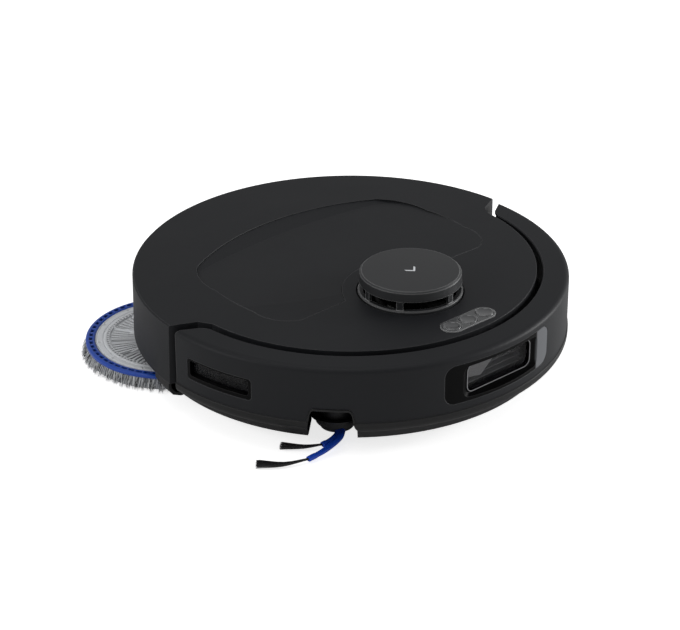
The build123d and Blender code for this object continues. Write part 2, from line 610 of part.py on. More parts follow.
# ---- drive wheels -------------------------------------------------------------------------------
HUB_R = 26.0
TREADS = 28
ARM_X = (88.5, 103.5)
AXLE_R = 3.0
for side, word in ((-1, "right"), (1, "left")):
    inner = WHEEL_X - WHEEL_W / 2
    with BuildPart() as wheel_tyre:
        with BuildSketch(across(side * inner)):
            with Locations((WHEEL_Y, WHEEL_R)):
                Circle(WHEEL_R - 1.8)
        extrude(amount=side * WHEEL_W)
        with BuildSketch(across(side * (inner + 1))):
            with Locations((WHEEL_Y, WHEEL_R)):
                with PolarLocations(WHEEL_R - 1.6, TREADS, start_angle=90):
                    Rectangle(3.2, 3.6)
        extrude(amount=side * (WHEEL_W - 2))
        with BuildSketch(across(side * inner)):
            with Locations((WHEEL_Y, WHEEL_R)):
                Circle(HUB_R)
        extrude(amount=side * WHEEL_W, mode=Mode.SUBTRACT)
    finish(wheel_tyre, f"wheel_tyre_{word}")

    with BuildPart() as wheel_rim:
        with BuildSketch(across(side * (inner + 0.5))):
            with Locations((WHEEL_Y, WHEEL_R)):
                Circle(HUB_R)
        extrude(amount=side * (WHEEL_W - 1))
        with BuildSketch(across(side * (inner + 7))):
            with Locations((WHEEL_Y, WHEEL_R)):
                Circle(HUB_R - 2.5)
                Circle(8, mode=Mode.SUBTRACT)
        extrude(amount=side * WHEEL_W, mode=Mode.SUBTRACT)
        with BuildSketch(across(side * (inner + 6))):
            with Locations((WHEEL_Y, WHEEL_R)):
                with PolarLocations(16, 6):
                    Rectangle(18, 3)
        extrude(amount=side * 12)
        with BuildSketch(across(side * (inner - 1))):
            with Locations((WHEEL_Y, WHEEL_R)):
                Circle(AXLE_R + 0.05)
        extrude(amount=side * (WHEEL_W + 2), mode=Mode.SUBTRACT)
    finish(wheel_rim, f"wheel_rim_{word}")

    with BuildPart() as wheel_arm:
        with BuildSketch(across(side * ARM_X[0])):
            with Locations((WHEEL_Y, WHEEL_R)):
                Circle(17)
            with Locations((PIVOT_Y + 3, PIVOT_Z)):
                Circle(9.5)
            make_hull()
        extrude(amount=side * (ARM_X[1] - ARM_X[0]))
        with BuildSketch(across(side * (ARM_X[0] - 3.6))):
            with Locations((PIVOT_Y, PIVOT_Z)):
                Circle(PIN_R)
        extrude(amount=side * (ARM_X[1] - ARM_X[0] + 8.4))
        with BuildSketch(across(side * ARM_X[1])):
            with Locations((WHEEL_Y, WHEEL_R)):
                Circle(AXLE_R)
        extrude(amount=side * (WHEEL_W + 2.3))
    finish(wheel_arm, f"wheel_arm_{word}")

SPRING_R, SPRING_WIRE = 8.0, 0.7
with BuildPart() as wheel_springs:
    for side in (-1, 1):
        for turn in range(3):
            with BuildSketch(across(side * (ARM_X[1] + 0.5 + turn * 1.4))):
                with Locations((PIVOT_Y, PIVOT_Z)):
                    Circle(SPRING_R)
                    Circle(SPRING_R - 2 * SPRING_WIRE, mode=Mode.SUBTRACT)
            extrude(amount=side * 2 * SPRING_WIRE)
        with BuildSketch(across(side * (ARM_X[1] + 0.5))):
            with Locations((PIVOT_Y, PIVOT_Z + 17)):
                Rectangle(1.4, 20)
        extrude(amount=side * 4.2)
finish(wheel_springs, "wheel_springs")

# ---- caster ---------------------------------------------------------------------------------------
FORK_R = 20.3
with BuildPart() as caster_fork:
    add(disc((0, CASTER_Y), FORK_R, (9.5, 29)))
    add(disc((0, CASTER_Y), STEM_R, (29, 43)))
    add(block((-8.6, 8.6), (CASTER_Y - 9, CASTER_Y + 25), (0, 26.2)), mode=Mode.SUBTRACT)
    with BuildSketch(across(-14)):
        with Locations((CASTER_Y + CASTER_TRAIL, CASTER_R)):
            Circle(1.5)
    extrude(amount=28)
finish(caster_fork, "caster_fork")

with BuildPart() as caster_wheel:
    with BuildSketch(across(-7.8)):
        with Locations((CASTER_Y + CASTER_TRAIL, CASTER_R)):
            Circle(CASTER_R)
            Circle(1.55, mode=Mode.SUBTRACT)
    extrude(amount=15.6)
    fillet(caster_wheel.edges().filter_by(GeomType.CIRCLE).group_by(SortBy.RADIUS)[-1], 2.5)
finish(caster_wheel, "caster_wheel")

# ---- side brush -----------------------------------------------------------------------------------
HUB_TOP = 14.0
DRIVE_R = 3.0
BX, BY = SIDE_BRUSH
with BuildPart() as side_brush_motor:
    add(disc(SIDE_BRUSH, 21.5, (14.6, 16.4)))
    add(disc(SIDE_BRUSH, 15.5, (16.4, 46)))
    with BuildSketch(Plane.XY.offset(46)):
        with Locations((BX + 6, BY)):
            Circle(6)
    extrude(amount=14)
    add(disc(SIDE_BRUSH, DRIVE_R + 0.05, (0, 40)), mode=Mode.SUBTRACT)
finish(side_brush_motor, "side_brush_motor")

with BuildPart() as side_brush_hub:
    with BuildSketch(Plane.XY.offset(7.5)):
        with Locations(SIDE_BRUSH):
            Circle(16.5)
    extrude(amount=6.2, taper=12)
    add(disc(SIDE_BRUSH, DRIVE_R, (10, 34)))
finish(side_brush_hub, "side_brush_hub")

LONG_ARM = [(-99.0, -99.6), (-108.5, -106.6), (-126.0, -110.6), (-143.0, -111.6)]
SHORT_ARM = [(-98.0, -97.0), (-105.0, -101.6), (-113.0, -103.2), (-121.5, -103.0)]
LONG_TUFT = [(-143.0, -111.6), (-162.0, -104.0), (-177.0, -90.0)]
SHORT_TUFT = [(-121.5, -103.0), (-134.0, -95.0), (-146.0, -81.5)]
ARM_Z = 3.6
with BuildPart() as side_brush_arms:
    add(disc(SIDE_BRUSH, 14.0, (2.6, 7.5)))
    for route in (LONG_ARM, SHORT_ARM):
        with BuildLine() as path:
            Spline(*[(x, y, ARM_Z) for x, y in route])
        with BuildSketch(Plane(origin=path.line @ 0, z_dir=path.line % 0)):
            Ellipse(2.2, 1.5)
        sweep(path=path.line)
finish(side_brush_arms, "side_brush_arms")

with BuildPart() as side_brush_tufts:
    for route in (LONG_TUFT, SHORT_TUFT):
        with BuildLine() as path:
            Spline(*[(x, y, ARM_Z - 0.4) for x, y in route])
        with BuildSketch(Plane(origin=path.line @ 0.04, z_dir=path.line % 0)):
            Ellipse(1.7, 1.7)
        with BuildSketch(Plane(origin=path.line @ 0.5, z_dir=path.line % 0.5)):
            Ellipse(2.6, 1.9)
        with BuildSketch(Plane(origin=path.line @ 1, z_dir=path.line % 1)):
            Ellipse(4.2, 2.2)
        loft()
finish(side_brush_tufts, "side_brush_tufts")

# ---- mops -------------------------------------------------------------------------------------------
SPINDLE_R = 6.0
SPINDLE_TOP = 29.0
with BuildPart() as mop_gearbox_right:
    with BuildSketch(Plane.XY.offset(GEARBOX_Z[0])):
        with Locations(PAD_OUT):
            Circle(21)
        with Locations(ARM_PIVOT):
            Circle(17)
        make_hull()
    extrude(amount=GEARBOX_Z[1] - GEARBOX_Z[0])
    add(disc(ARM_PIVOT, PIVOT_PIN_R, (GEARBOX_Z[1], 46)))
    add(disc(PAD_OUT, SPINDLE_R + 0.08, (0, GEARBOX_Z[1] - 0.4)), mode=Mode.SUBTRACT)
finish(mop_gearbox_right, "mop_gearbox_right")

with BuildPart() as mop_gearbox_left:
    with BuildSketch(Plane.XY.offset(GEARBOX_Z[0])):
        with Locations(PAD_LEFT):
            Circle(21)
        with Locations((PAD_LEFT[0] + 22, PAD_LEFT[1] + 16)):
            Circle(16)
        make_hull()
    extrude(amount=BAY_Z - GEARBOX_Z[0])
    add(disc(PAD_LEFT, SPINDLE_R + 0.08, (0, GEARBOX_Z[1] - 0.4)), mode=Mode.SUBTRACT)
finish(mop_gearbox_left, "mop_gearbox_left")

PLATE_LOW = 9.2
PAD_T = (0.4, 9.0)
for centre, word in ((PAD_OUT, "right"), (PAD_LEFT, "left")):
    with BuildPart() as mop_spindle:
        add(disc(centre, SPINDLE_R, (PAD_TOP + 1.0, SPINDLE_TOP)))
    finish(mop_spindle, f"mop_spindle_{word}")

    with BuildPart() as mop_plate:
        add(disc(centre, PLATE_R - 0.3, (PLATE_LOW, PAD_TOP)))
        add(disc(centre, 51.0, (PLATE_LOW + 2.0, PAD_TOP + 1)), mode=Mode.SUBTRACT)
        with BuildSketch(Plane.XY.offset(PLATE_LOW + 1)):
            with Locations(centre):
                with PolarLocations(30, 24):
                    Rectangle(44, 1.2)
                Circle(11)
        extrude(amount=2.8)
        add(disc(centre, 9.5, (PLATE_LOW + 1, PAD_TOP + 0.9)))
    finish(mop_plate, f"mop_plate_{word}")

    with BuildPart() as mop_ring:
        add(disc(centre, RING_R, (PLATE_LOW + 0.6, PAD_TOP)))
        add(disc(centre, PLATE_R, (0, 30)), mode=Mode.SUBTRACT)
        with BuildSketch(Plane.XY.offset(PAD_TOP - 1.2)):
            with Locations(centre):
                Circle(63.4)
                Circle(61.6, mode=Mode.SUBTRACT)
        extrude(amount=3, mode=Mode.SUBTRACT)
        fillet(mop_ring.edges().filter_by(GeomType.CIRCLE).group_by(Axis.Z)[-1].group_by(
            SortBy.RADIUS)[-1], 1.4)
    finish(mop_ring, f"mop_ring_{word}")

    with BuildPart() as mop_pad:
        with BuildSketch(Plane.XY.offset(PAD_T[0])):
            with Locations(centre):
                Circle(TUFT_R - 1.0)
        extrude(amount=3.0)
        with BuildSketch(Plane.XY.offset(PAD_T[0] + 3.0)):
            with Locations(centre):
                Circle(TUFT_R)
        extrude(amount=PAD_T[1] - PAD_T[0] - 3.0, taper=22)
    finish(mop_pad, f"mop_pad_{word}")

with BuildPart() as mop_swing_motor:
    add(disc(ARM_PIVOT, 15, (BAY_Z + BAY_T, 62)))
    add(disc((ARM_PIVOT[0] + 8, ARM_PIVOT[1] + 20), 9, (BAY_Z + BAY_T, 66)))
    add(disc(ARM_PIVOT, PIVOT_PIN_R + 0.08, (0, 48)), mode=Mode.SUBTRACT)
finish(mop_swing_motor, "mop_swing_motor")

# ---- turret -----------------------------------------------------------------------------------------
RING_OUT, RING_IN = 41.6, 37.4
CROWN_R = 1250.0
with BuildPart() as turret_base:
    with BuildSketch(Plane.XY.offset(75.0)):
        with Locations((0, TURRET_Y)):
            Circle(RING_OUT)
            Circle(RING_IN, mode=Mode.SUBTRACT)
    extrude(amount=RING_TOP - 75.0)
    chamfer(turret_base.edges().filter_by(GeomType.CIRCLE).group_by(Axis.Z)[-1].group_by(
        SortBy.RADIUS)[-1], 0.8)
    with BuildSketch(Plane.XY.offset(73.4)):
        with Locations((0, TURRET_Y)):
            Circle(46)
            Circle(RING_IN, mode=Mode.SUBTRACT)
    extrude(amount=1.6)
    with BuildSketch(Plane.XY.offset(RING_TOP - 0.5)):
        with Locations((0, TURRET_Y)):
            for angle in POST_DEG:
                with PolarLocations(39.0, 1, start_angle=angle - 90):
                    Rectangle(2.6, 5.4)
    extrude(amount=CAP_Z - RING_TOP + 1.0)
finish(turret_base, "turret_base")

def crown(radius):
    """Height of the cap's slightly crowned top at a distance from the turret's middle."""
    return TURRET_TOP - CROWN_R + sqrt(CROWN_R ** 2 - radius ** 2)


with BuildPart() as turret_cap:
    with BuildSketch(Plane.XZ.offset(-TURRET_Y)):
        with BuildLine():
            Polyline((0, 98.4), (36.6, 97.8), (36.6, CAP_Z + 0.5), (CAP_R + 0.6, CAP_Z + 0.5),
                     (CAP_R, 98.8), (CAP_R - 1.5, crown(CAP_R - 1.5)))
            ThreePointArc((CAP_R - 1.5, crown(CAP_R - 1.5)), (20, crown(20)), (0, TURRET_TOP))
            Line((0, TURRET_TOP), (0, 98.4))
        make_face()
    revolve(axis=Axis((0, TURRET_Y, 0), (0, 0, 1)))
finish(turret_cap, "turret_cap")

with BuildPart() as lidar_base:
    add(disc((0, TURRET_Y), 36.5, (58, 61)))
    add(disc((0, TURRET_Y), 35.5, (61, 73.0)))
    add(disc((0, TURRET_Y), 33.5, (61, 90)), mode=Mode.SUBTRACT)
    add(disc((0, TURRET_Y), 6.0, (60, 74)))
    add(disc((26, TURRET_Y - 35), 9.0, (56, 72)))
finish(lidar_base, "lidar_base")

with BuildPart() as lidar_rotor:
    add(disc((0, TURRET_Y), 32.0, (76, 79)))
    add(disc((0, TURRET_Y), 28.0, (79, 96.5)))
    add(disc((0, TURRET_Y), 6.05, (70, 74.2)), mode=Mode.SUBTRACT)
    add(block((-24, 24), (TURRET_Y - 40, TURRET_Y - 25), (78, 100)), mode=Mode.SUBTRACT)
    add(disc((0, TURRET_Y), 9.0, (70, 76)))
    add(disc((0, TURRET_Y), 6.06, (70, 74.4)), mode=Mode.SUBTRACT)
finish(lidar_rotor, "lidar_rotor")

# ---- buttons ----------------------------------------------------------------------------------------
PANEL_Z = (78.6, 81.5)
BUTTON_TOP = 81.9
with BuildPart() as button_panel:
    with BuildSketch(Plane.XY.offset(PANEL_Z[0])):
        with Locations((0, PANEL_Y)):
            SlotOverall(PANEL_L, PANEL_W)
            with GridLocations(BUTTON_PITCH, 1, 3, 1):
                Circle(BUTTON_R + 0.35, mode=Mode.SUBTRACT)
    extrude(amount=PANEL_Z[1] - PANEL_Z[0])
    chamfer(button_panel.faces().sort_by(Axis.Z)[-1].outer_wire().edges(), 0.4)
finish(button_panel, "button_panel")

for place, word in ((-1, "right"), (0, "middle"), (1, "left")):
    with BuildPart() as button:
        centre = (place * BUTTON_PITCH, PANEL_Y)
        add(disc(centre, BUTTON_R, (76.4, BUTTON_TOP)))
        add(disc(centre, BUTTON_R + 1.1, (75.4, 76.6)))
        chamfer(button.faces().sort_by(Axis.Z)[-1].edges(), 0.5)
    finish(button, f"button_{word}")

with BuildPart() as circuit_boards:
    with BuildSketch(Plane.XY.offset(68)):
        with Locations((0, PANEL_Y)):
            RectangleRounded(58, 19, 3)
    extrude(amount=1.6)
    with BuildSketch(Plane.XY.offset(69.6)):
        with Locations((0, PANEL_Y)):
            with GridLocations(BUTTON_PITCH, 1, 3, 1):
                Rectangle(6, 6)
    extrude(amount=4.6)
    add(block((-66, 66), (-63, -18), (46, 47.6)))
    with BuildSketch(Plane.XY.offset(47.6)):
        with Locations((0, -42)):
            with GridLocations(26, 18, 5, 2):
                Rectangle(13, 10)
    extrude(amount=2.4)
finish(circuit_boards, "circuit_boards")

# ---- tray, bin and air path ---------------------------------------------------------------------------
TRAY_T = 1.6
TRAY_Z = 75.0
with BuildPart() as service_tray:
    add(prism(cover_plan(0, TRAY_Z - TRAY_T), TRAY_T))
    add(disc((0, TURRET_Y), 47, (70, 80)), mode=Mode.SUBTRACT)
    add(block((-BIN_X - 2.6, BIN_X + 2.6), (BIN_Y[0] - 2.0, BIN_Y[1] + 2.6), (42, TRAY_Z - 0.4)))
    add(block((-BIN_X - 1, BIN_X + 1), (BIN_Y[0] - 0.4, BIN_Y[1] + 1), (43.6, 90)),
        mode=Mode.SUBTRACT)
    add(block((-31, 31), (BIN_Y[0] - 5, BIN_Y[0] + 1), (46, 61)), mode=Mode.SUBTRACT)
    add(block((-30, 30), (BIN_Y[1] - 1, BIN_Y[1] + 5), (47, 69)), mode=Mode.SUBTRACT)
finish(service_tray, "service_tray")

with BuildPart() as dust_bin:
    add(block((-BIN_X, BIN_X), BIN_Y, (BIN_Z[0], BIN_Z[1] - 2.2)))
    add(block((-BIN_X + BIN_T, BIN_X - BIN_T), (BIN_Y[0] + BIN_T, BIN_Y[1] - 11),
              (BIN_Z[0] + BIN_T, 90)), mode=Mode.SUBTRACT)
    add(block((-29, 29), (BIN_Y[0] - 3, BIN_Y[0] + 3), (48, 60)), mode=Mode.SUBTRACT)
    add(block((-62, 62), (BIN_Y[1] - 12, BIN_Y[1] - 1.4), (46.5, 70)), mode=Mode.SUBTRACT)
    add(block((-28, 28), (BIN_Y[1] - 5, BIN_Y[1] + 3), (48, 68)), mode=Mode.SUBTRACT)
finish(dust_bin, "dust_bin")

with BuildPart() as bin_lid:
    with BuildSketch(Plane.XY.offset(BIN_Z[1] - 2.2)):
        with Locations((0, (BIN_Y[0] + BIN_Y[1]) / 2)):
            RectangleRounded(2 * BIN_X, BIN_Y[1] - BIN_Y[0], 3)
    extrude(amount=2.2)
    add(block((-22, 22), (40, 58), (BIN_Z[1] - 1.0, 90)), mode=Mode.SUBTRACT)
finish(bin_lid, "bin_lid")

with BuildPart() as bin_filter:
    add(block((-61.7, 61.7), (BIN_Y[1] - 10.8, BIN_Y[1] - 1.5), (46.7, 69.8)))
    for number in range(20):
        x = -57 + number * 6
        add(block((x - 1.6, x + 1.6), (BIN_Y[1] - 12, BIN_Y[1] - 6.5), (49, 67.5)),
            mode=Mode.SUBTRACT)
finish(bin_filter, "bin_filter")

with BuildPart() as bin_flap:
    add(block((-28.4, 28.4), (BIN_Y[0] + BIN_T + 0.4, BIN_Y[0] + BIN_T + 1.6), (47.0, 59.0)))
    with BuildSketch(across(-28.4)):
        with Locations((BIN_Y[0] + BIN_T + 1.6, 60.0)):
            Circle(1.2)
    extrude(amount=56.8)
finish(bin_flap, "bin_flap")

FAN = (0.0, 128.0)
with BuildPart() as fan_housing:
    add(disc(FAN, 35, (43, 73)))
    add(block((-28, 28), (120, 167.5), (47, 70)))
    add(block((-24, 24), (BIN_Y[1] + 3.0, 104), (47, 70)))
    add(disc(FAN, 33, (45, 71)), mode=Mode.SUBTRACT)
    add(block((-26, 26), (120, 180), (49, 68)), mode=Mode.SUBTRACT)
    add(block((-22, 22), (70, 106), (49, 68)), mode=Mode.SUBTRACT)
    add(disc(FAN, 17, (45, 56.5)))
    add(disc(FAN, 2.05, (44, 80)), mode=Mode.SUBTRACT)
finish(fan_housing, "fan_housing")

with BuildPart() as fan_impeller:
    add(disc(FAN, 30, (57.5, 59)))
    with BuildSketch(Plane.XY.offset(59)):
        with Locations(FAN):
            with PolarLocations(19.5, 11):
                Rectangle(19, 1.3, rotation=28)
            Circle(9)
    extrude(amount=9)
    add(disc(FAN, 2.0, (46, 72)))
finish(fan_impeller, "fan_impeller")

with BuildPart() as exhaust_grille:
    add(turned([(171.4, GRILLE_Z[0] + 0.3), (175.0, GRILLE_Z[0] + 0.3), (175.0, GRILLE_Z[1] - 0.3),
                (171.4, GRILLE_Z[1] - 0.3)], 170.35, 19.3))
    add(block((-GRILLE_W / 2 + 0.3, GRILLE_W / 2 - 0.3), (160, 190), (40, 80)),
        mode=Mode.INTERSECT)
    for number in range(5):
        low = GRILLE_Z[0] + 1.8 + number * 2.7
        add(block((-27.5, 27.5), (160, 190), (low, low + 1.5)), mode=Mode.SUBTRACT)
finish(exhaust_grille, "exhaust_grille")

# ---- electronics and small parts ------------------------------------------------------------------
with BuildPart() as battery:
    with BuildSketch(Plane.XY.offset(13.4)):
        with Locations((54, -89.5)):
            RectangleRounded(57, 42, 5)
    extrude(amount=38)
finish(battery, "battery")

with BuildPart() as battery_cover:
    add(block((BAY[0][0] + 0.3, BAY[0][1] - 0.3), (BAY[1][0] + 0.3, BAY[1][1] - 0.3),
              (FLOOR_Z, FLOOR_Z + 2.2)))
    with Locations([(x, y, FLOOR_Z) for x, y in LID_SCREWS]):
        Cylinder(3.0, 1.2, align=(Align.CENTER, Align.CENTER, Align.MIN), mode=Mode.SUBTRACT)
        Cylinder(1.6, 4, align=(Align.CENTER, Align.CENTER, Align.MIN), mode=Mode.SUBTRACT)
finish(battery_cover, "battery_cover")

with BuildPart() as screws:
    with Locations([(x, y, FLOOR_Z + 0.4) for x, y in SCREWS]):
        Cylinder(2.8, 1.5, align=(Align.CENTER, Align.CENTER, Align.MIN))
        Cylinder(1.5, 13, align=(Align.CENTER, Align.CENTER, Align.MIN))
    with Locations([(x, y, FLOOR_Z + 0.4) for x, y in SCREWS]):
        Cylinder(1.0, 0.8, align=(Align.CENTER, Align.CENTER, Align.MIN), mode=Mode.SUBTRACT)
    with Locations([(x, y, FLOOR_Z + 0.2) for x, y in LID_SCREWS]):
        Cylinder(2.7, 1.0, align=(Align.CENTER, Align.CENTER, Align.MIN))
        Cylinder(1.5, 2.0, align=(Align.CENTER, Align.CENTER, Align.MIN))
finish(screws, "screws")

with BuildPart() as charge_contacts:
    for side in (-1, 1):
        add(block(sorted((side * (CONTACT_X - CONTACT_W / 2 + 0.3),
                          side * (CONTACT_X + CONTACT_W / 2 - 0.3))), (CONTACT_FACE - 3.0, CONTACT_FACE),
                  (CONTACT_Z - CONTACT_H / 2 + 0.3, CONTACT_Z + CONTACT_H / 2 - 0.3)))
finish(charge_contacts, "charge_contacts")

with BuildPart() as sensor_modules:
    with BuildSketch(Plane(origin=(0, -DECK_R - 0.6, 55.4), x_dir=(1, 0, 0), z_dir=(0, -1, 0))):
        RectangleRounded(58, 21, 3)
    extrude(amount=6)
    with BuildSketch(Plane(origin=(0, -DECK_R - 6.6, 55.4), x_dir=(1, 0, 0), z_dir=(0, -1, 0))):
        with Locations((-19, 1)):
            Circle(7.5)
        with Locations((14, 3)):
            RectangleRounded(26, 9, 2)
    extrude(amount=2.4)
    with BuildSketch(Plane(origin=polar(163.0, SIDE_MID, 53.6), x_dir=Vector(*polar(1, SIDE_MID + 90)),
                           z_dir=Vector(*polar(1, SIDE_MID)))):
        RectangleRounded(34, 9, 2)
    extrude(amount=2.6)
finish(sensor_modules, "sensor_modules")

with BuildPart() as sensor_lenses:
    with BuildSketch(Plane(origin=(0, -DECK_R - 9.0, 55.4), x_dir=(1, 0, 0), z_dir=(0, -1, 0))):
        with Locations((-19, 1)):
            Circle(5)
        with Locations((8, 3), (20, 3)):
            Circle(3)
    extrude(amount=1.2)
    for deg in (-22, 22, -72, 72):
        x, y, _ = polar(147.0, deg)
        with BuildSketch(Plane(origin=(x, y, FLOOR_Z - 0.4), x_dir=Vector(*polar(1, deg + 90)),
                               z_dir=(0, 0, 1))):
            SlotOverall(17, 8)
        extrude(amount=0.4)
finish(sensor_lenses, "sensor_lenses")
print("made", len(os.listdir("parts")))
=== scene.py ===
# %% [markdown]
# # A low round robot vacuum and mop
#
# The machine's frame was made in CAD: shells, wheels, turret, bays and the motions between them.
# These cells load that frame, light it, give every surface its real finish, and swap the plain
# CAD stand-ins for brushes, mop discs and buttons with finer surfaces worked out with numpy.

# %% Load the frame
import json

import bmesh
import bpy
import numpy as np
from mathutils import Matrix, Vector


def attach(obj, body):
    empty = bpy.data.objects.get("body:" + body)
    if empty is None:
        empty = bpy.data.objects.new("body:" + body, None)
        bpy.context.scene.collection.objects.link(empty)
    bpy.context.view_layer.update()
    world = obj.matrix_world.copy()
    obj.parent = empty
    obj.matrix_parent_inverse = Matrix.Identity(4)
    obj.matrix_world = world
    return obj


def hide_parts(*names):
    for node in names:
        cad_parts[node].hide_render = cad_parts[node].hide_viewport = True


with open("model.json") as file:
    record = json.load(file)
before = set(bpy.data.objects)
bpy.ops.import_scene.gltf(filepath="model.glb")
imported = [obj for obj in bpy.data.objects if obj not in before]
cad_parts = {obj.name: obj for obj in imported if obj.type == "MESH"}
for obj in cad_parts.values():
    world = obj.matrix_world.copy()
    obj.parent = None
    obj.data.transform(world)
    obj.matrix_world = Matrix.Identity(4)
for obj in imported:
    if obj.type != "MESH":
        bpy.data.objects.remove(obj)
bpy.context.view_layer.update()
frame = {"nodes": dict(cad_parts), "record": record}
cad = frame["nodes"]
print("frame pieces:", len(cad))

# %% [markdown]
# ## Camera
# A product view from above the right front corner. A long lens keeps the drum's ellipse calm, and a
# small shift places the machine in the frame without turning the camera.

# %% Camera
AIM = Vector((0.0, 0.0, 0.047))
camera_data = bpy.data.cameras.new("studio_camera")
camera_data.sensor_width = 36.0
camera_data.lens = 117.94
camera_data.shift_x = -0.0162
camera_data.shift_y = -0.0228
camera = bpy.data.objects.new("studio_camera", camera_data)
bpy.context.scene.collection.objects.link(camera)
camera.location = (-1.0791, -1.2044, 0.8781)
camera.rotation_euler = (AIM - camera.location).to_track_quat("-Z", "Y").to_euler()
bpy.context.scene.camera = camera
print("camera distance", round((AIM - camera.location).length, 3))

# %% [markdown]
# ## Light
# Dark plastic is drawn by what it reflects, so the lamps are large soft boxes: one overhead for the
# deck, a strong one low on the right for the wall and the window, and a weak one on the left. The
# world adds a pale fill from all round.

# %% World and soft boxes
world = bpy.data.worlds.new("studio")
world.use_nodes = True
backdrop = world.node_tree.nodes["Background"]
backdrop.inputs["Color"].default_value = (1.0, 1.0, 1.0, 1.0)
backdrop.inputs["Strength"].default_value = 0.36
bpy.context.scene.world = world
bpy.context.scene.view_settings.view_transform = "Standard"


def soft_box(name, place, aim, size, power):
    """A rectangular area lamp at a place, turned towards a point."""
    lamp = bpy.data.lights.new(name, "AREA")
    lamp.shape = "RECTANGLE"
    lamp.size, lamp.size_y = size
    lamp.energy = power
    holder = bpy.data.objects.new(name, lamp)
    bpy.context.scene.collection.objects.link(holder)
    holder.location = place
    holder.rotation_euler = (Vector(aim) - Vector(place)).to_track_quat("-Z", "Y").to_euler()


soft_box("overhead", (-0.2, 0.1, 1.9), (0, 0, 0.05), (1.2, 1.2), 5.6)
soft_box("right_wall", (1.6, -0.9, 0.45), (0, 0, 0.05), (0.7, 0.6), 21.0)
soft_box("left_low", (-1.5, 0.6, 0.9), (-0.1, 0.1, 0.02), (0.6, 0.6), 5.5)
print("soft boxes", len(bpy.data.lights))

# %% [markdown]
# ## Floor
# A wide plain floor, a hair under the tyres. It is only a stage and not part of the machine.

# %% Floor
FLOOR_HALF = 5.0
FLOOR_DROP = -0.0003
FLOOR_GLOW = 0.75     # lifts the paper to white without lighting the machine
floor_mesh = bpy.data.meshes.new("studio_floor")
floor_corners = [(FLOOR_HALF * x, FLOOR_HALF * y, FLOOR_DROP)
                 for x, y in ((-1, -1), (1, -1), (1, 1), (-1, 1))]
floor_mesh.from_pydata(floor_corners, [], [(0, 1, 2, 3)])
floor = bpy.data.objects.new("studio_floor", floor_mesh)
bpy.context.scene.collection.objects.link(floor)
floor_paint = bpy.data.materials.new("floor_paint")
floor_paint.use_nodes = True
floor_shader = floor_paint.node_tree.nodes["Principled BSDF"]
floor_shader.inputs["Base Color"].default_value = (0.93, 0.93, 0.93, 1.0)
floor_shader.inputs["Roughness"].default_value = 0.9
floor_shader.inputs["Specular IOR Level"].default_value = 0.1
glow = floor_paint.node_tree.nodes.new("ShaderNodeMath")
glow.operation = "MULTIPLY"
glow.inputs[1].default_value = FLOOR_GLOW
seen = floor_paint.node_tree.nodes.new("ShaderNodeLightPath").outputs["Is Camera Ray"]
floor_paint.node_tree.links.new(seen, glow.inputs[0])
floor_shader.inputs["Emission Color"].default_value = (1.0, 1.0, 1.0, 1.0)
floor_paint.node_tree.links.new(glow.outputs[0], floor_shader.inputs["Emission Strength"])
floor_mesh.materials.append(floor_paint)

# %% [markdown]
# ## Two shared effects
# Nearly every part is moulded plastic, and two things make plastic look real. The first is its
# skin: a fine spark-eroded grain, a slow drift of tone, and a gloss that is never quite even. The
# second is its edge: no mould has a knife edge, so each corner is read as a small radius that
# catches the light, and a lighter colour is painted along it as a highlight. Each is one node
# group, placed in every material with its own values.

# %% Helpers for node trees


def node(tree, kind, **settings):
    """Adds one node and sets its properties."""
    made = tree.nodes.new(kind)
    for key, value in settings.items():
        setattr(made, key, value)
    return made


def maths(tree, operation, first, second):
    """A Math node on two inputs, each a socket or a number. Gives its output socket."""
    made = node(tree, "ShaderNodeMath", operation=operation)
    for place, value in enumerate((first, second)):
        if isinstance(value, (int, float)):
            made.inputs[place].default_value = value
        else:
            tree.links.new(value, made.inputs[place])
    return made.outputs[0]


def open_group(name, inputs, outputs):
    """A new shader node group with named sockets. Gives the tree, its input and its output node."""
    tree = bpy.data.node_groups.new(name, "ShaderNodeTree")
    for label, kind in inputs:
        tree.interface.new_socket(label, in_out="INPUT", socket_type=kind)
    for label, kind in outputs:
        tree.interface.new_socket(label, in_out="OUTPUT", socket_type=kind)
    return tree, node(tree, "NodeGroupInput"), node(tree, "NodeGroupOutput")


NUMBER, PAINT, ARROW = "NodeSocketFloat", "NodeSocketColor", "NodeSocketVector"

# %% The moulded skin group
skin, skin_in, skin_out = open_group(
    "moulded_skin",
    [("Tint", PAINT), ("Drift", NUMBER), ("Gloss Middle", NUMBER), ("Gloss Spread", NUMBER),
     ("Grain Scale", NUMBER)],
    [("Color", PAINT), ("Roughness", NUMBER), ("Height", NUMBER)])
place = node(skin, "ShaderNodeTexCoord").outputs["Object"]
slow = node(skin, "ShaderNodeTexNoise")
slow.inputs["Scale"].default_value = 22.0
slow.inputs["Detail"].default_value = 3.0
fine = node(skin, "ShaderNodeTexNoise")
fine.inputs["Detail"].default_value = 2.0
skin.links.new(place, slow.inputs["Vector"])
skin.links.new(place, fine.inputs["Vector"])
skin.links.new(skin_in.outputs["Grain Scale"], fine.inputs["Scale"])
swing = maths(skin, "SUBTRACT", slow.outputs["Fac"], 0.5)
speck = maths(skin, "SUBTRACT", fine.outputs["Fac"], 0.5)
both_noises = maths(skin, "ADD", swing, maths(skin, "MULTIPLY", speck, 0.6))
gain = maths(skin, "ADD", maths(skin, "MULTIPLY", both_noises, skin_in.outputs["Drift"]), 1.0)
toned = node(skin, "ShaderNodeVectorMath", operation="SCALE")
skin.links.new(skin_in.outputs["Tint"], toned.inputs[0])
skin.links.new(gain, toned.inputs["Scale"])
skin.links.new(toned.outputs[0], skin_out.inputs["Color"])
uneven = maths(skin, "MULTIPLY", both_noises, skin_in.outputs["Gloss Spread"])
gloss_here = maths(skin, "ADD", uneven, skin_in.outputs["Gloss Middle"])
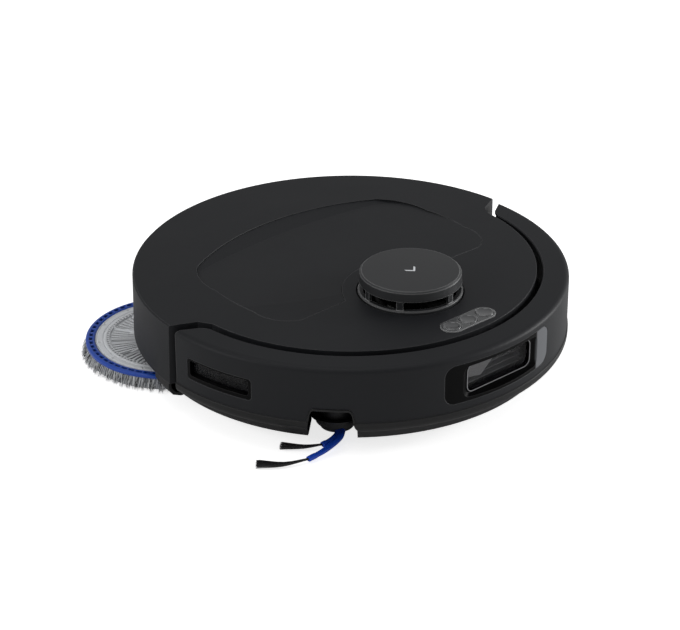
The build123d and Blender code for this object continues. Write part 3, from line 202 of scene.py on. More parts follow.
skin.links.new(gloss_here, skin_out.inputs["Roughness"])
skin.links.new(fine.outputs["Fac"], skin_out.inputs["Height"])
print("group", skin.name)

# %% The soft edge group
soft_edge, edge_in, edge_out = open_group(
    "soft_edge", [("Width", NUMBER)], [("Normal", ARROW), ("Edge", NUMBER)])
rounded = node(soft_edge, "ShaderNodeBevel", samples=4)
soft_edge.links.new(edge_in.outputs["Width"], rounded.inputs["Radius"])
true_side = node(soft_edge, "ShaderNodeNewGeometry").outputs["Normal"]
match = node(soft_edge, "ShaderNodeVectorMath", operation="DOT_PRODUCT")
soft_edge.links.new(rounded.outputs["Normal"], match.inputs[0])
soft_edge.links.new(true_side, match.inputs[1])
apart = maths(soft_edge, "SUBTRACT", 1.0, match.outputs["Value"])
sharper = maths(soft_edge, "MULTIPLY", apart, 4.0)
soft_edge.links.new(maths(soft_edge, "MINIMUM", sharper, 1.0), edge_out.inputs["Edge"])
soft_edge.links.new(rounded.outputs["Normal"], edge_out.inputs["Normal"])
print("group", soft_edge.name)

# %% [markdown]
# ## Finishes
# One maker covers the hard parts: it places both groups, mixes a painted highlight into the edges
# and painted shade into pits, and adds the grain as bump over the rounded normal. What is even
# all over, such as a coat or the metal value, is set on the shader itself.

# %% The hard finish maker


GRAIN_DEPTH = 0.0002
EDGE_HIGHLIGHT_GAIN = 2.2          # how much lighter than the tint the painted edge highlight is


def finish(name, tint, gloss, grain=900.0, bump=0.06, drift=0.12, spread=0.1, edge=0.5,
           width=0.0005, edge_highlight=0.02, pit_shade=None, **even):
    """A moulded or metal finish: tint and gloss middle, grain scale and depth, how strongly, widely
    and brightly a painted highlight lies along its edges, a colour of painted shade for pits marked
    by the tone attribute, and any even shader values by socket name."""
    paint = bpy.data.materials.new(name)
    paint.use_nodes = True
    tree = paint.node_tree
    shader = tree.nodes["Principled BSDF"]
    surface = node(tree, "ShaderNodeGroup", node_tree=skin)
    for label, value in (("Tint", (*tint, 1.0)), ("Drift", drift), ("Gloss Middle", gloss),
                         ("Gloss Spread", spread), ("Grain Scale", grain)):
        surface.inputs[label].default_value = value
    rim = node(tree, "ShaderNodeGroup", node_tree=soft_edge)
    rim.inputs["Width"].default_value = width
    # Painted highlight: the edge mask mixes a lighter copy of the tint along the rounded edges.
    edge_highlight_mix = node(tree, "ShaderNodeMix", data_type="RGBA", blend_type="MIX")
    tree.links.new(maths(tree, "MULTIPLY", rim.outputs["Edge"], edge), edge_highlight_mix.inputs[0])
    tree.links.new(surface.outputs["Color"], edge_highlight_mix.inputs["A"])
    edge_highlight_mix.inputs["B"].default_value = (*(min(1.0, EDGE_HIGHLIGHT_GAIN * c + edge_highlight) for c in tint), 1.0)
    colour = edge_highlight_mix.outputs["Result"]
    # Painted shade: where the tone attribute is high, the pits are darkened to the given colour.
    if pit_shade:
        pit_shade_mix = node(tree, "ShaderNodeMix", data_type="RGBA", blend_type="MIX")
        tree.links.new(node(tree, "ShaderNodeAttribute", attribute_name="tone").outputs["Fac"],
                       pit_shade_mix.inputs[0])
        tree.links.new(colour, pit_shade_mix.inputs["A"])
        pit_shade_mix.inputs["B"].default_value = (*pit_shade, 1.0)
        colour = pit_shade_mix.outputs["Result"]
    tree.links.new(colour, shader.inputs["Base Color"])
    tree.links.new(surface.outputs["Roughness"], shader.inputs["Roughness"])
    relief = node(tree, "ShaderNodeBump")
    relief.inputs["Strength"].default_value = bump
    relief.inputs["Distance"].default_value = GRAIN_DEPTH
    tree.links.new(surface.outputs["Height"], relief.inputs["Height"])
    tree.links.new(rim.outputs["Normal"], relief.inputs["Normal"])
    tree.links.new(relief.outputs["Normal"], shader.inputs["Normal"])
    for label, value in even.items():
        shader.inputs[label.replace("_", " ")].default_value = value
    return paint


# %% Finishes for each slot of the record
FINISHES = {
    # The edge values paint a highlight along the edges of the shell, bezel, trim, turret, panel and
    # buttons.
    "shell_plastic": finish("deck_black", (0.0108, 0.0116, 0.0138), 0.52, Specular_IOR_Level=0.26,
                            edge=1.0, width=0.0009, edge_highlight=0.09),
    "bezel_plastic": finish("bezel_black", (0.0015, 0.0015, 0.0017), 0.42, bump=0.01, spread=0.05,
                            edge=1.0, edge_highlight=0.06, Specular_IOR_Level=0.08),
    "trim_rubber": finish("trim_black", (0.006, 0.006, 0.0065), 0.42, grain=600.0, edge=1.0,
                          edge_highlight=0.04, Specular_IOR_Level=0.35),
    "under_plastic": finish("under_black", (0.012, 0.012, 0.013), 0.55, grain=700.0, bump=0.1),
    "inner_plastic": finish("inner_black", (0.008, 0.008, 0.009), 0.45, grain=700.0,
                            bump=0.02),
    "steel": finish("turned_steel", (0.52, 0.53, 0.55), 0.30, grain=1800.0, bump=0.08,
                    Metallic=1.0),
    "roller_rubber": finish("roller_rubber", (0.035, 0.036, 0.04), 0.45, grain=500.0),
    "caster_plastic": finish("caster_grey", (0.10, 0.10, 0.105), 0.40, grain=500.0),
    "blue_rubber": finish("brush_blue", (0.008, 0.075, 0.62), 0.34, grain=500.0, bump=0.04,
                          Coat_Weight=0.15),
    "turret_plastic": finish("turret_black", (0.024, 0.025, 0.027), 0.42, bump=0.04,
                             edge=1.0, width=0.0013, edge_highlight=0.38),
    "lidar_plastic": finish("lidar_black", (0.003, 0.003, 0.003), 0.15, bump=0.0,
                            spread=0.03),
    "panel_plastic": finish("panel_smoke", (0.055, 0.057, 0.060), 0.22, bump=0.01, spread=0.06,
                            edge=1.0, width=0.0008, edge_highlight=0.8, Coat_Weight=0.6,
                            Coat_Roughness=0.08),
    "button_plastic": finish("button_smoke", (0.060, 0.062, 0.065), 0.16, bump=0.01, spread=0.05,
                             edge=1.0, width=0.0007, edge_highlight=0.7, Coat_Weight=0.8,
                             Coat_Roughness=0.05),
    "board": finish("solder_mask", (0.008, 0.07, 0.03), 0.35, grain=300.0, drift=0.4),
    "battery_wrap": finish("battery_wrap", (0.01, 0.05, 0.20), 0.30, grain=120.0, bump=0.15),
    "lens_glass": finish("lens_black", (0.004, 0.003, 0.006), 0.06, bump=0.0, spread=0.02,
                         Coat_Weight=1.0, Coat_Roughness=0.02),
    "contact_metal": finish("contact_plate", (0.62, 0.60, 0.55), 0.22, bump=0.03, Metallic=1.0),
    "bin_plastic": finish("bin_smoke", (0.03, 0.032, 0.036), 0.20, bump=0.01, spread=0.05,
                          Coat_Weight=0.4),
    "filter_paper": finish("filter_paper", (0.72, 0.72, 0.68), 0.85, grain=260.0, bump=0.3,
                           edge=0.0),
    "fan_plastic": finish("fan_grey", (0.30, 0.30, 0.31), 0.40, grain=500.0),
    "tyre_rubber": finish("tyre_black", (0.012, 0.012, 0.012), 0.62, grain=420.0, bump=0.2),
    # This finish paints shade into the plate's slits, wall gaps and dots.
    "mop_plastic": finish("mop_plate_grey", (0.80, 0.82, 0.85), 0.42, grain=500.0, bump=0.05,
                          edge=0.3, pit_shade=(0.035, 0.036, 0.040)),
    # This finish paints shade into the ring's grip slots.
    "blue_plastic": finish("mop_ring_blue", (0.008, 0.070, 0.46), 0.34, grain=500.0, bump=0.03,
                           pit_shade=(0.003, 0.006, 0.03), Coat_Weight=0.2),
}
print("finishes", len(FINISHES))

# %% [markdown]
# The bezel of the front window is deep black round the pane, and its slanted outer face is painted
# a lighter grey as painted light from the right side, and made matte. A step along x picks between
# them.

# %% Painted light on the bezel's right face
LIT_FACE_FROM, LIT_FACE_TO = 0.0375, 0.0400
FLARE_ROUGHER = 0.3
bezel = FINISHES["bezel_plastic"].node_tree
bezel_shader = bezel.nodes["Principled BSDF"]
along = node(bezel, "ShaderNodeSeparateXYZ")
bezel.links.new(node(bezel, "ShaderNodeTexCoord").outputs["Object"], along.inputs[0])
lit_face = node(bezel, "ShaderNodeMapRange", interpolation_type="SMOOTHSTEP")
lit_face.inputs["From Min"].default_value = LIT_FACE_FROM
lit_face.inputs["From Max"].default_value = LIT_FACE_TO
bezel.links.new(along.outputs["X"], lit_face.inputs["Value"])
# Painted light: the lit face is painted a lighter grey than the black round the pane.
painted_light_mix = node(bezel, "ShaderNodeMix", data_type="RGBA", blend_type="MIX")
bezel.links.new(lit_face.outputs["Result"], painted_light_mix.inputs[0])
bezel.links.new(bezel_shader.inputs["Base Color"].links[0].from_socket, painted_light_mix.inputs["A"])
painted_light_mix.inputs["B"].default_value = (0.17, 0.175, 0.185, 1.0)
bezel.links.new(painted_light_mix.outputs["Result"], bezel_shader.inputs["Base Color"])
matte = maths(bezel, "MULTIPLY", lit_face.outputs["Result"], FLARE_ROUGHER)
polish = bezel_shader.inputs["Roughness"].links[0].from_socket
bezel.links.new(maths(bezel, "ADD", polish, matte), bezel_shader.inputs["Roughness"])

# %% [markdown]
# The window panes are smoked acrylic. A thin flat pane hardly bends light, so it is shown by a low
# alpha over a near black tint, which keeps its reflections clean, with a faint waviness of the
# moulding in its normal. What is behind it has to show.

# %% Smoked pane
pane = bpy.data.materials.new("smoked_pane")
pane.use_nodes = True
pane_shader = pane.node_tree.nodes["Principled BSDF"]
pane_shader.inputs["Base Color"].default_value = (0.012, 0.012, 0.014, 1.0)
pane_shader.inputs["Roughness"].default_value = 0.04
pane_shader.inputs["IOR"].default_value = 1.49
pane_shader.inputs["Alpha"].default_value = 0.22
wavy = node(pane.node_tree, "ShaderNodeTexNoise")
wavy.inputs["Scale"].default_value = 14.0
pane.node_tree.links.new(node(pane.node_tree, "ShaderNodeTexCoord").outputs["Object"],
                         wavy.inputs["Vector"])
wave_bump = node(pane.node_tree, "ShaderNodeBump")
wave_bump.inputs["Strength"].default_value = 0.004
wave_bump.inputs["Distance"].default_value = 0.0004
pane.node_tree.links.new(wavy.outputs["Fac"], wave_bump.inputs["Height"])
pane.node_tree.links.new(wave_bump.outputs["Normal"], pane_shader.inputs["Normal"])
FINISHES["clear_pane"] = pane

# %% [markdown]
# Strands are too thin for grain. Each strand carries one random number in an attribute named tone,
# and the finish turns that number into one of the yarn colours.

# %% Strand finish


def strands_finish(name, stops, gloss):
    """A yarn finish: the tone attribute picks a colour from a stepped ramp of (place, colour)."""
    paint = bpy.data.materials.new(name)
    paint.use_nodes = True
    tree = paint.node_tree
    shader = tree.nodes["Principled BSDF"]
    tone = node(tree, "ShaderNodeAttribute", attribute_name="tone")
    ramp = node(tree, "ShaderNodeValToRGB")
    ramp.color_ramp.interpolation = "CONSTANT"
    while len(ramp.color_ramp.elements) < len(stops):
        ramp.color_ramp.elements.new(0.5)
    for element, (place_on_ramp, colour) in zip(ramp.color_ramp.elements, stops):
        element.position = place_on_ramp
        element.color = (*colour, 1.0)
    tree.links.new(tone.outputs["Fac"], ramp.inputs["Fac"])
    tree.links.new(ramp.outputs["Color"], shader.inputs["Base Color"])
    shader.inputs["Roughness"].default_value = gloss
    shader.inputs["Sheen Weight"].default_value = 0.2
    return paint


WHITE_YARN = (0.88, 0.89, 0.90)
GREY_YARN = (0.30, 0.31, 0.34)
DARK_YARN = (0.012, 0.012, 0.014)
FINISHES["mop_fibre"] = strands_finish(
    "mop_yarn", [(0.0, WHITE_YARN), (0.62, GREY_YARN), (0.78, DARK_YARN)], 0.7)
FINISHES["bristle"] = strands_finish(
    "brush_bristle", [(0.0, (0.010, 0.010, 0.011)), (0.7, (0.028, 0.028, 0.030))], 0.45)

# %% [markdown]
# The felt body of a mop disc is looped microfibre. Small cells give the loops, and a slower wave
# gives the sectors of lighter and darker yarn.

# %% Felt finish
felt_paint = bpy.data.materials.new("mop_felt")
felt_paint.use_nodes = True
felt_tree = felt_paint.node_tree
felt_shader = felt_tree.nodes["Principled BSDF"]
felt_place = node(felt_tree, "ShaderNodeTexCoord").outputs["Object"]
loops = node(felt_tree, "ShaderNodeTexVoronoi")
loops.inputs["Scale"].default_value = 420.0
sectors = node(felt_tree, "ShaderNodeTexNoise")
sectors.inputs["Scale"].default_value = 45.0
felt_ramp = node(felt_tree, "ShaderNodeValToRGB")
felt_ramp.color_ramp.elements[0].color = (0.16, 0.17, 0.20, 1.0)
felt_ramp.color_ramp.elements[1].color = (0.66, 0.68, 0.70, 1.0)
felt_bump = node(felt_tree, "ShaderNodeBump")
felt_bump.inputs["Strength"].default_value = 0.7
felt_bump.inputs["Distance"].default_value = 0.0012
felt_tree.links.new(felt_place, loops.inputs["Vector"])
felt_tree.links.new(felt_place, sectors.inputs["Vector"])
felt_mix = maths(felt_tree, "SUBTRACT", sectors.outputs["Fac"],
                 maths(felt_tree, "MULTIPLY", loops.outputs["Distance"], 0.35))
felt_tree.links.new(felt_mix, felt_ramp.inputs["Fac"])
felt_tree.links.new(felt_ramp.outputs["Color"], felt_shader.inputs["Base Color"])
felt_tree.links.new(loops.outputs["Distance"], felt_bump.inputs["Height"])
felt_tree.links.new(felt_bump.outputs["Normal"], felt_shader.inputs["Normal"])
felt_shader.inputs["Roughness"].default_value = 0.9
felt_shader.inputs["Sheen Weight"].default_value = 0.3

# %% [markdown]
# ## Paint the frame
# Each CAD piece names its slot in the record, so one pass gives all of them their finish.

# %% Paint every CAD piece
for entry in frame["record"]["subparts"]:
    mesh = cad[entry["node"]].data
    mesh.materials.clear()
    mesh.materials.append(FINISHES[entry["material_slot"]])

# %% [markdown]
# ## Surfaces worked out with numpy
# The CAD stand-ins for the brushes, mop discs and buttons are plain. Their real shapes are turned
# or drawn along a line, so two helpers cover most of them: one turns a profile about an upright
# axis, and one carries a small ring along many lines at once.

# %% Put points and faces into a piece
MM = 0.001
SHARP = 0.6          # creases sharper than this many radians stay crisp
DOUBLES = 2e-7       # corners closer than this are one


def make_piece(name, points, faces, body, slot, stands_for=(), tone=None):
    """One piece from points in millimetres and its faces, with doubles merged and faces outward."""
    mesh = bpy.data.meshes.new(name)
    mesh.from_pydata((np.asarray(points, float) * MM).tolist(), [], faces)
    if tone is not None:
        layer = mesh.attributes.new("tone", "FLOAT", "POINT")
        layer.data.foreach_set("value", np.asarray(tone, np.float32))
    shape = bmesh.new()
    shape.from_mesh(mesh)
    bmesh.ops.remove_doubles(shape, verts=shape.verts, dist=DOUBLES)
    bmesh.ops.recalc_face_normals(shape, faces=shape.faces)
    shape.to_mesh(mesh)
    shape.free()
    mesh.shade_smooth()
    mesh.set_sharp_from_angle(angle=SHARP)
    mesh.materials.append(FINISHES[slot])
    piece = bpy.data.objects.new(name, mesh)
    bpy.context.scene.collection.objects.link(piece)
    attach(piece, body)
    if stands_for:
        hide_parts(*stands_for)
    print(name, len(mesh.polygons), "faces")
    return piece


def grid_faces(rows, columns, wrap_rows, wrap_columns):
    """Quads between neighbours of a rows by columns grid, joined round either way if wrapped."""
    r = np.arange(rows if wrap_rows else rows - 1)
    c = np.arange(columns if wrap_columns else columns - 1)
    a, b = np.meshgrid(r, c, indexing="ij")
    down, right = (a + 1) % rows, (b + 1) % columns
    quads = np.stack([a * columns + b, a * columns + right, down * columns + right,
                      down * columns + b], axis=-1)
    return quads.reshape(-1, 4).tolist()


def lathe(profile, centre, count):
    """Turns a closed (radius, height) profile: x = cx + r cos t, y = cy + r sin t, z = height."""
    outline = np.asarray(profile, float)
    turn = np.linspace(0, 2 * np.pi, count, endpoint=False)
    x = centre[0] + outline[:, :1] * np.cos(turn)
    y = centre[1] + outline[:, :1] * np.sin(turn)
    z = np.repeat(outline[:, 1:2], count, axis=1)
    points = np.stack([x, y, z], axis=-1).reshape(-1, 3)
    return points, grid_faces(len(outline), count, True, True)


def tubes(lines, across, sides=3):
    """Carries an ellipse along many lines. lines is (many, steps, 3) and across is the two half
    widths, (many, steps, 2): point = line + w cos t * side + h sin t * up, with ends closed."""
    lines, across = np.asarray(lines, float), np.asarray(across, float)
    many, steps = lines.shape[:2]
    ahead = np.gradient(lines, axis=1)
    ahead /= np.linalg.norm(ahead, axis=-1, keepdims=True) + 1e-12
    side = np.cross(ahead, np.array([0.0, 0.0, 1.0]))
    side /= np.linalg.norm(side, axis=-1, keepdims=True) + 1e-12
    up = np.cross(side, ahead)
    turn = np.linspace(0, 2 * np.pi, sides, endpoint=False)
    ring = (across[:, :, None, 0:1] * np.cos(turn)[None, None, :, None] * side[:, :, None, :]
            + across[:, :, None, 1:2] * np.sin(turn)[None, None, :, None] * up[:, :, None, :])
    points = (lines[:, :, None, :] + ring).reshape(-1, 3)
    one = np.array(grid_faces(steps, sides, False, True))
    base = (np.arange(many) * steps * sides)[:, None, None]
    quads = (one[None] + base).reshape(-1, 4).tolist()
    first = np.arange(sides)[None] + base[:, :, 0]
    last = first + (steps - 1) * sides
    return points, quads + first[:, ::-1].tolist() + last.tolist()


def smooth_line(stops, count):
    """A smooth line through the stops: each run is a cubic whose end slopes are half the distance
    between the neighbouring stops."""
    stops = np.asarray(stops, float)
    slope = np.gradient(stops, axis=0)
    t = np.linspace(0, len(stops) - 1, count)
    k = np.minimum(t.astype(int), len(stops) - 2)
    u = (t - k)[:, None]
    a, b, da, db = stops[k], stops[k + 1], slope[k], slope[k + 1]
    return ((2 * u**3 - 3 * u**2 + 1) * a + (u**3 - 2 * u**2 + u) * da
            + (3 * u**2 - 2 * u**3) * b + (u**3 - u**2) * db)


# %% [markdown]
# ## Mop discs
# A mop disc is three things: a grey plate that the spindle drives, a blue retaining ring with a row
# of grip slots, and the yarn. The plate and ring are height fields on a polar grid. Slits, slots
# and dots are pits: soft steps that sink the height and carry painted shade in the tone together.
# The yarn is a felt disc with a fringe of strands that fan out past the ring.

# %% Plate and ring
PAD_CENTRES = {"right": (-110.5, 99.0), "left": (75.5, 87.0)}
SEGMENTS = 576


def step(value, edge, soft):
    """A smooth rise from 0 to 1 as value passes edge, over a width of soft."""
    return 1.0 / (1.0 + np.exp(-4.0 * (value - edge) / soft))


def polar_slab(radii, height, pit_shade, low, centre, count=SEGMENTS):
    """A slab on a polar grid: its top is height(r, t), its underside is level, and its tone is
    given by
    the third argument: painted shade, from 0 on open faces to 1 in a shaded pit."""
    turn = np.linspace(0, 2 * np.pi, count, endpoint=False)
    r, t = np.meshgrid(radii, turn, indexing="ij")
    top, tone = height(r, t), pit_shade(r, t)
    r = np.vstack([r[:1], r, r[-1:]])
    t = np.vstack([t[:1], t, t[-1:]])
    z = np.vstack([np.full_like(top[:1], low), top, np.full_like(top[:1], low)])
    tone = np.vstack([tone[:1] * 0, tone, tone[-1:] * 0])
    points = np.stack([centre[0] + r * np.cos(t), centre[1] + r * np.sin(t), z], axis=-1)
    return points.reshape(-1, 3), grid_faces(len(r), count, True, True), tone.ravel()


def band(r, inner, outer, soft):
    """Rises to 1 at the inner radius and falls back to 0 at the outer one."""
    return step(r, inner, soft) * (1 - step(r, outer, soft))


def plate_pits_and_shade(r, t):
    """Slits between 72 fins of uneven reach, the gaps of the slotted wall, and 12 round dots: each
    sinks the height and is painted shade in the tone.
    """
    reach = 27.0 + 9.0 * np.cos(6 * t) + 5.0 * np.cos(18 * t)
    slits = step(np.cos(72 * t), 0.55, 0.25) * band(r, reach, 48.6, 0.8)
    wall = 0.8 * step(np.cos(96 * t), 0.1, 0.4) * band(r, 50.6, 52.4, 0.4)
    dots = step(np.cos(12 * t), 0.9935, 0.003) * band(r, 57.7, 59.1, 0.3)
    return np.clip(slits + wall + dots, 0, 1)


def plate_height(r, t):
    """Dish floor sunk at the slits, 12 stout ribs, an upright slotted wall, then a flat rim with
    two fine grooves."""
    dish = 11.6 + 0.0004 * r**2 + 1.3 * step(np.cos(12 * t), 0.95, 0.04) * step(r, 11.0, 1.0)
    groove = 0.8 * np.exp(-((r - 55.2) / 0.35) ** 2) + 0.8 * np.exp(-((r - 60.4) / 0.3) ** 2)
    hub = 14.3 - 0.8 * np.exp(-((r - 8.5) / 0.8) ** 2)
    body = dish + (14.1 - dish) * step(r, 50.0, 0.4) - groove - 1.7 * plate_pits_and_shade(r, t)
    return hub + (body - hub) * step(r, 10.4, 0.5)


def ring_pits_and_shade(r, t):
    """60 grip slots, each a short dash that sinks the height and is painted shade in the tone."""
    return step(np.cos(60 * t), -0.35, 0.4) * band(r, 64.2, 66.6, 0.4)


def ring_height(r, t):
    """A blue rim with rounded shoulders, sunk at its grip slots."""
    return 14.7 - 0.9 * ((r - 65.9) / 3.7) ** 4 - 2.4 * ring_pits_and_shade(r, t)


plate_radii = np.concatenate([[0.4, 4, 7, 8, 8.5, 9, 9.6, 10.2, 10.6, 11, 12, 14, 19.4, 20, 20.6],
                              np.linspace(23, 48.8, 14), np.linspace(49.4, 61.6, 42)])
ring_radii = np.concatenate([[62.2, 62.35, 62.6], np.linspace(63.1, 68.6, 30), [69.1, 69.4, 69.6]])
for word, centre in PAD_CENTRES.items():
    points, faces, tone = polar_slab(plate_radii, plate_height, plate_pits_and_shade, 9.3, centre)
    make_piece(f"mop_dish_{word}", points, faces, f"mop_{word}", "mop_plastic",
               (f"mop_plate_{word}",), tone)
    points, faces, tone = polar_slab(ring_radii, ring_height, ring_pits_and_shade, 11.6, centre, 720)
    make_piece(f"mop_rim_{word}", points, faces, f"mop_{word}", "blue_plastic",
               (f"mop_ring_{word}",), tone)

# %% [markdown]
# The yarn hangs from the ring's underside. Each strand is a three-sided tube with a bend and a
# random tone, and clumps share a lean so that the fringe looks used and not combed.

# %% Yarn disc and fringe
rng = np.random.default_rng(11)
STRANDS, STRAND_STEPS, SIDES = 2300, 4, 3
ROOT, REACH_MOST = 67.5, 75.0


def fringe(centre, strands):
    """Strand lines from under the ring outwards. With u from 0 to 1 along a strand, the radius is
    ROOT + (reach - ROOT) u, the angle turns by lean u^1.5 and the height falls as u^1.6. Reach,
    lean and tone share sin(61 t + 2 sin 7 t), which gathers the strands into clumps."""
    turn = np.sort(rng.uniform(0, 2 * np.pi, strands))
    clump = np.sin(turn * 61 + 2.0 * np.sin(turn * 7))
    lean = 0.035 * clump + rng.normal(0, 0.014, strands)
    reach = 71.9 + 1.3 * clump + rng.normal(0, 1.1, strands)
    tip = np.clip(rng.normal(2.2, 1.5, strands), 0.9, 6.0)
    root_z = rng.uniform(3.0, 13.2, strands)
    u = np.linspace(0, 1, STRAND_STEPS)[None]
    r = ROOT + (np.minimum(reach, REACH_MOST)[:, None] - ROOT) * u
    t = turn[:, None] + lean[:, None] * u**1.5
    z = root_z[:, None] + (np.minimum(tip, root_z)[:, None] - root_z[:, None]) * u**1.6
    lines = np.stack([centre[0] + r * np.cos(t), centre[1] + r * np.sin(t), z], axis=-1)
    thick = np.broadcast_to(0.40 * (1.05 - 0.85 * u), (strands, STRAND_STEPS))
    tone = (0.5 + 0.32 * clump + rng.normal(0, 0.28, strands)) % 1.0
    return lines, np.stack([thick, thick], axis=-1), tone


FELT = [(0.0, 0.5), (60.0, 0.5), (66.0, 0.6), (68.2, 1.4), (69.0, 3.6), (68.6, 7.6),
        (67.6, 11.3), (61.9, 11.4), (61.9, 9.2), (60.0, 9.2), (0.0, 9.2)]
for word, centre in PAD_CENTRES.items():
    lines, thick, tone = fringe(centre, STRANDS)
    strand_points, strand_faces = tubes(lines, thick)
    make_piece(f"mop_fringe_{word}", strand_points, strand_faces, f"mop_{word}", "mop_fibre",
               tone=np.repeat(tone, STRAND_STEPS * SIDES))
    felt_points, felt_faces = lathe(FELT, centre, 180)
    felt = make_piece(f"mop_felt_{word}", felt_points, felt_faces, f"mop_{word}", "mop_fibre",
                      (f"mop_pad_{word}",))
    felt.data.materials[0] = felt_paint

# %% [markdown]
# ## Side brush
# Two soft blue arms leave the hub, dip to the floor and end in a collar that clamps a tuft of black
# bristles. The bristles leave the collar together and spread as they curve back.

# %% Hub skirt and arms
HUB = (-91.85, -86.25)
HUB_SKIRT = [(0.0, 2.7), (10.5, 2.7), (13.2, 3.3), (14.0, 4.6), (13.6, 6.2), (11.6, 7.2),
             (0.0, 7.5)]
LONG_ARM = [(-99.0, -99.6, 6.2), (-108.5, -106.6, 5.6), (-126.0, -110.6, 4.0),
            (-143.0, -111.6, 3.5)]
SHORT_ARM = [(-98.0, -97.0, 6.2), (-105.0, -101.6, 5.4), (-113.0, -103.2, 4.4),
             (-121.5, -103.0, 3.8)]
ARM_STEPS = 40
points, faces = lathe(HUB_SKIRT, HUB, 96)
make_piece("side_brush_skirt", points, faces, "side_brush", "inner_plastic", ("side_brush_arms",))
for name, stops in (("side_brush_long_arm", LONG_ARM), ("side_brush_short_arm", SHORT_ARM)):
    line = smooth_line(stops, ARM_STEPS)
    u = np.linspace(0, 1, ARM_STEPS)
    collar = 0.35 * step(u, 0.86, 0.03)
    width = 3.3 - 1.1 * u + collar
    depth = 2.3 - 0.6 * u + collar
    points, faces = tubes(line[None], np.stack([width, depth], axis=-1)[None], 20)
    make_piece(name, points, faces, "side_brush", "blue_rubber")

# %% Bristle tufts
LONG_TUFT = [(-142.0, -111.6, 3.5), (-162.0, -104.0, 3.2), (-177.0, -90.0, 3.0)]
SHORT_TUFT = [(-120.6, -103.0, 3.8), (-134.0, -95.0, 3.4), (-146.0, -81.5, 3.0)]
BRISTLE_STEPS = 9
BRISTLE_THICK = 0.16


def tuft(stops, bristles, spread):
    """Bristle lines that start in one socket and spread: each keeps its own offset, which grows
    along the line, and its own length."""
    spine = smooth_line(stops, BRISTLE_STEPS)
    u = np.linspace(0, 1, BRISTLE_STEPS)
    offset = rng.normal(0, 1, (bristles, 2))
    offset /= np.maximum(1.0, np.linalg.norm(offset, axis=1, keepdims=True) / 1.6)
    ahead = np.gradient(spine, axis=0)
    ahead /= np.linalg.norm(ahead, axis=1, keepdims=True)
    side = np.cross(ahead, [0, 0, 1.0])
    grow = 0.55 + spread * u**1.4
    lines = (spine[None] + offset[:, :1, None] * (grow[:, None] * side)[None]
             + offset[:, 1:, None] * (0.75 * grow[:, None] * np.array([0, 0, 1.0]))[None])
    cut = rng.uniform(0.93, 1.0, bristles)
    lines = lines[:, :1] + (lines - lines[:, :1]) * cut[:, None, None]
    lines[..., 2] = np.maximum(lines[..., 2], 0.5)
    return lines, np.full((bristles, BRISTLE_STEPS, 2), BRISTLE_THICK)


tufts = [tuft(LONG_TUFT, 150, 1.9), tuft(SHORT_TUFT, 130, 1.7)]
lines = np.concatenate([t[0] for t in tufts])
thick = np.concatenate([t[1] for t in tufts])
points, faces = tubes(lines, thick)
make_piece("side_brush_bristles", points, faces, "side_brush", "bristle", ("side_brush_tufts",),
           tone=np.repeat(rng.uniform(0, 1, len(lines)), BRISTLE_STEPS * SIDES))

# %% [markdown]
# ## Buttons
# Three smoked buttons sit in the pill. Each is a shallow dish with a raised lip, which catches the
# light round it.

# %% Button caps
BUTTON = [(0.0, 81.55), (4.6, 81.6), (5.5, 81.85), (5.95, 82.15), (6.3, 82.25), (6.7, 82.15),
          (7.05, 81.8), (7.15, 81.2), (7.15, 76.7), (8.2, 76.6), (8.2, 75.6), (0.0, 75.6)]
BUTTON_Y, BUTTON_PITCH = -135.0, 17.5
for word, place_in_row in (("right", -1), ("middle", 0), ("left", 1)):
    points, faces = lathe(BUTTON, (place_in_row * BUTTON_PITCH, BUTTON_Y), 96)
    make_piece(f"button_cap_{word}", points, faces, f"press_{word}", "button_plastic",
               (f"button_{word}",))

# %% [markdown]
# ## Behind the front window
# Through the smoked pane one sees the optics: a camera barrel with stepped rings and a few louvres
# below. A pale slanted plate with a diagonal edge is a painted reflection on the pane. They are
# shallow turned and folded shapes on the chassis.

# %% Camera barrel, painted reflection plate and louvres
BARREL = [(0.0, -3.0), (3.2, -3.0), (3.4, -4.2), (4.6, -4.3), (4.8, -3.4), (6.0, -3.5),
          (6.2, -2.2), (7.4, -2.2), (7.4, 0.0), (0.0, 0.0)]
BARREL_X, BARREL_BACK, BARREL_Z = -15.0, -157.4, 56.4
upright, faces = lathe(BARREL, (0.0, 0.0), 72)
barrel = np.column_stack([upright[:, 0] + BARREL_X, upright[:, 2] + BARREL_BACK,
                          upright[:, 1] + BARREL_Z])
make_piece("camera_barrel", barrel, faces, "chassis", "lidar_plastic")


def plate_between(corners, thick):
    """A flat plate: four corners in order and the same four moved by the thickness vector."""
    near = np.asarray(corners, float)
    far = near + np.asarray(thick, float)
    sides = [(k, (k + 1) % 4, 4 + (k + 1) % 4, 4 + k) for k in range(4)]
    return np.vstack([near, far]), sides + [(0, 1, 2, 3), (7, 6, 5, 4)]


# A pale plate behind the pane whose diagonal edge is a painted reflection on the pane.
REFLECTION_PLATE_Y = -161.8
REFLECTION_PLATE = [(-32, 52.5), (-12, 48.5), (9, 65.8), (-29, 65.8)]
points, faces = plate_between([(x, REFLECTION_PLATE_Y, z) for x, z in REFLECTION_PLATE], (0, 0.6, 0))
make_piece("pane_reflection_plate", points, faces, "chassis", "fan_plastic")
LOUVRE_HALF, LOUVRE_Y, LOUVRE_BACK, LOUVRE_Z, LOUVRE_PITCH = 32, -161.6, -157, 45.6, 4.6
for number in range(4):
    front, z = LOUVRE_Y + 0.6 * number, LOUVRE_Z + LOUVRE_PITCH * number
    points, faces = plate_between([(-LOUVRE_HALF, front, z), (LOUVRE_HALF, front, z),
                                   (LOUVRE_HALF, LOUVRE_BACK, z + 1.4),
                                   (-LOUVRE_HALF, LOUVRE_BACK, z + 1.4)], (0, 0, 0.9))
    make_piece(f"sensor_louvre_{number}", points, faces, "chassis", "caster_plastic")

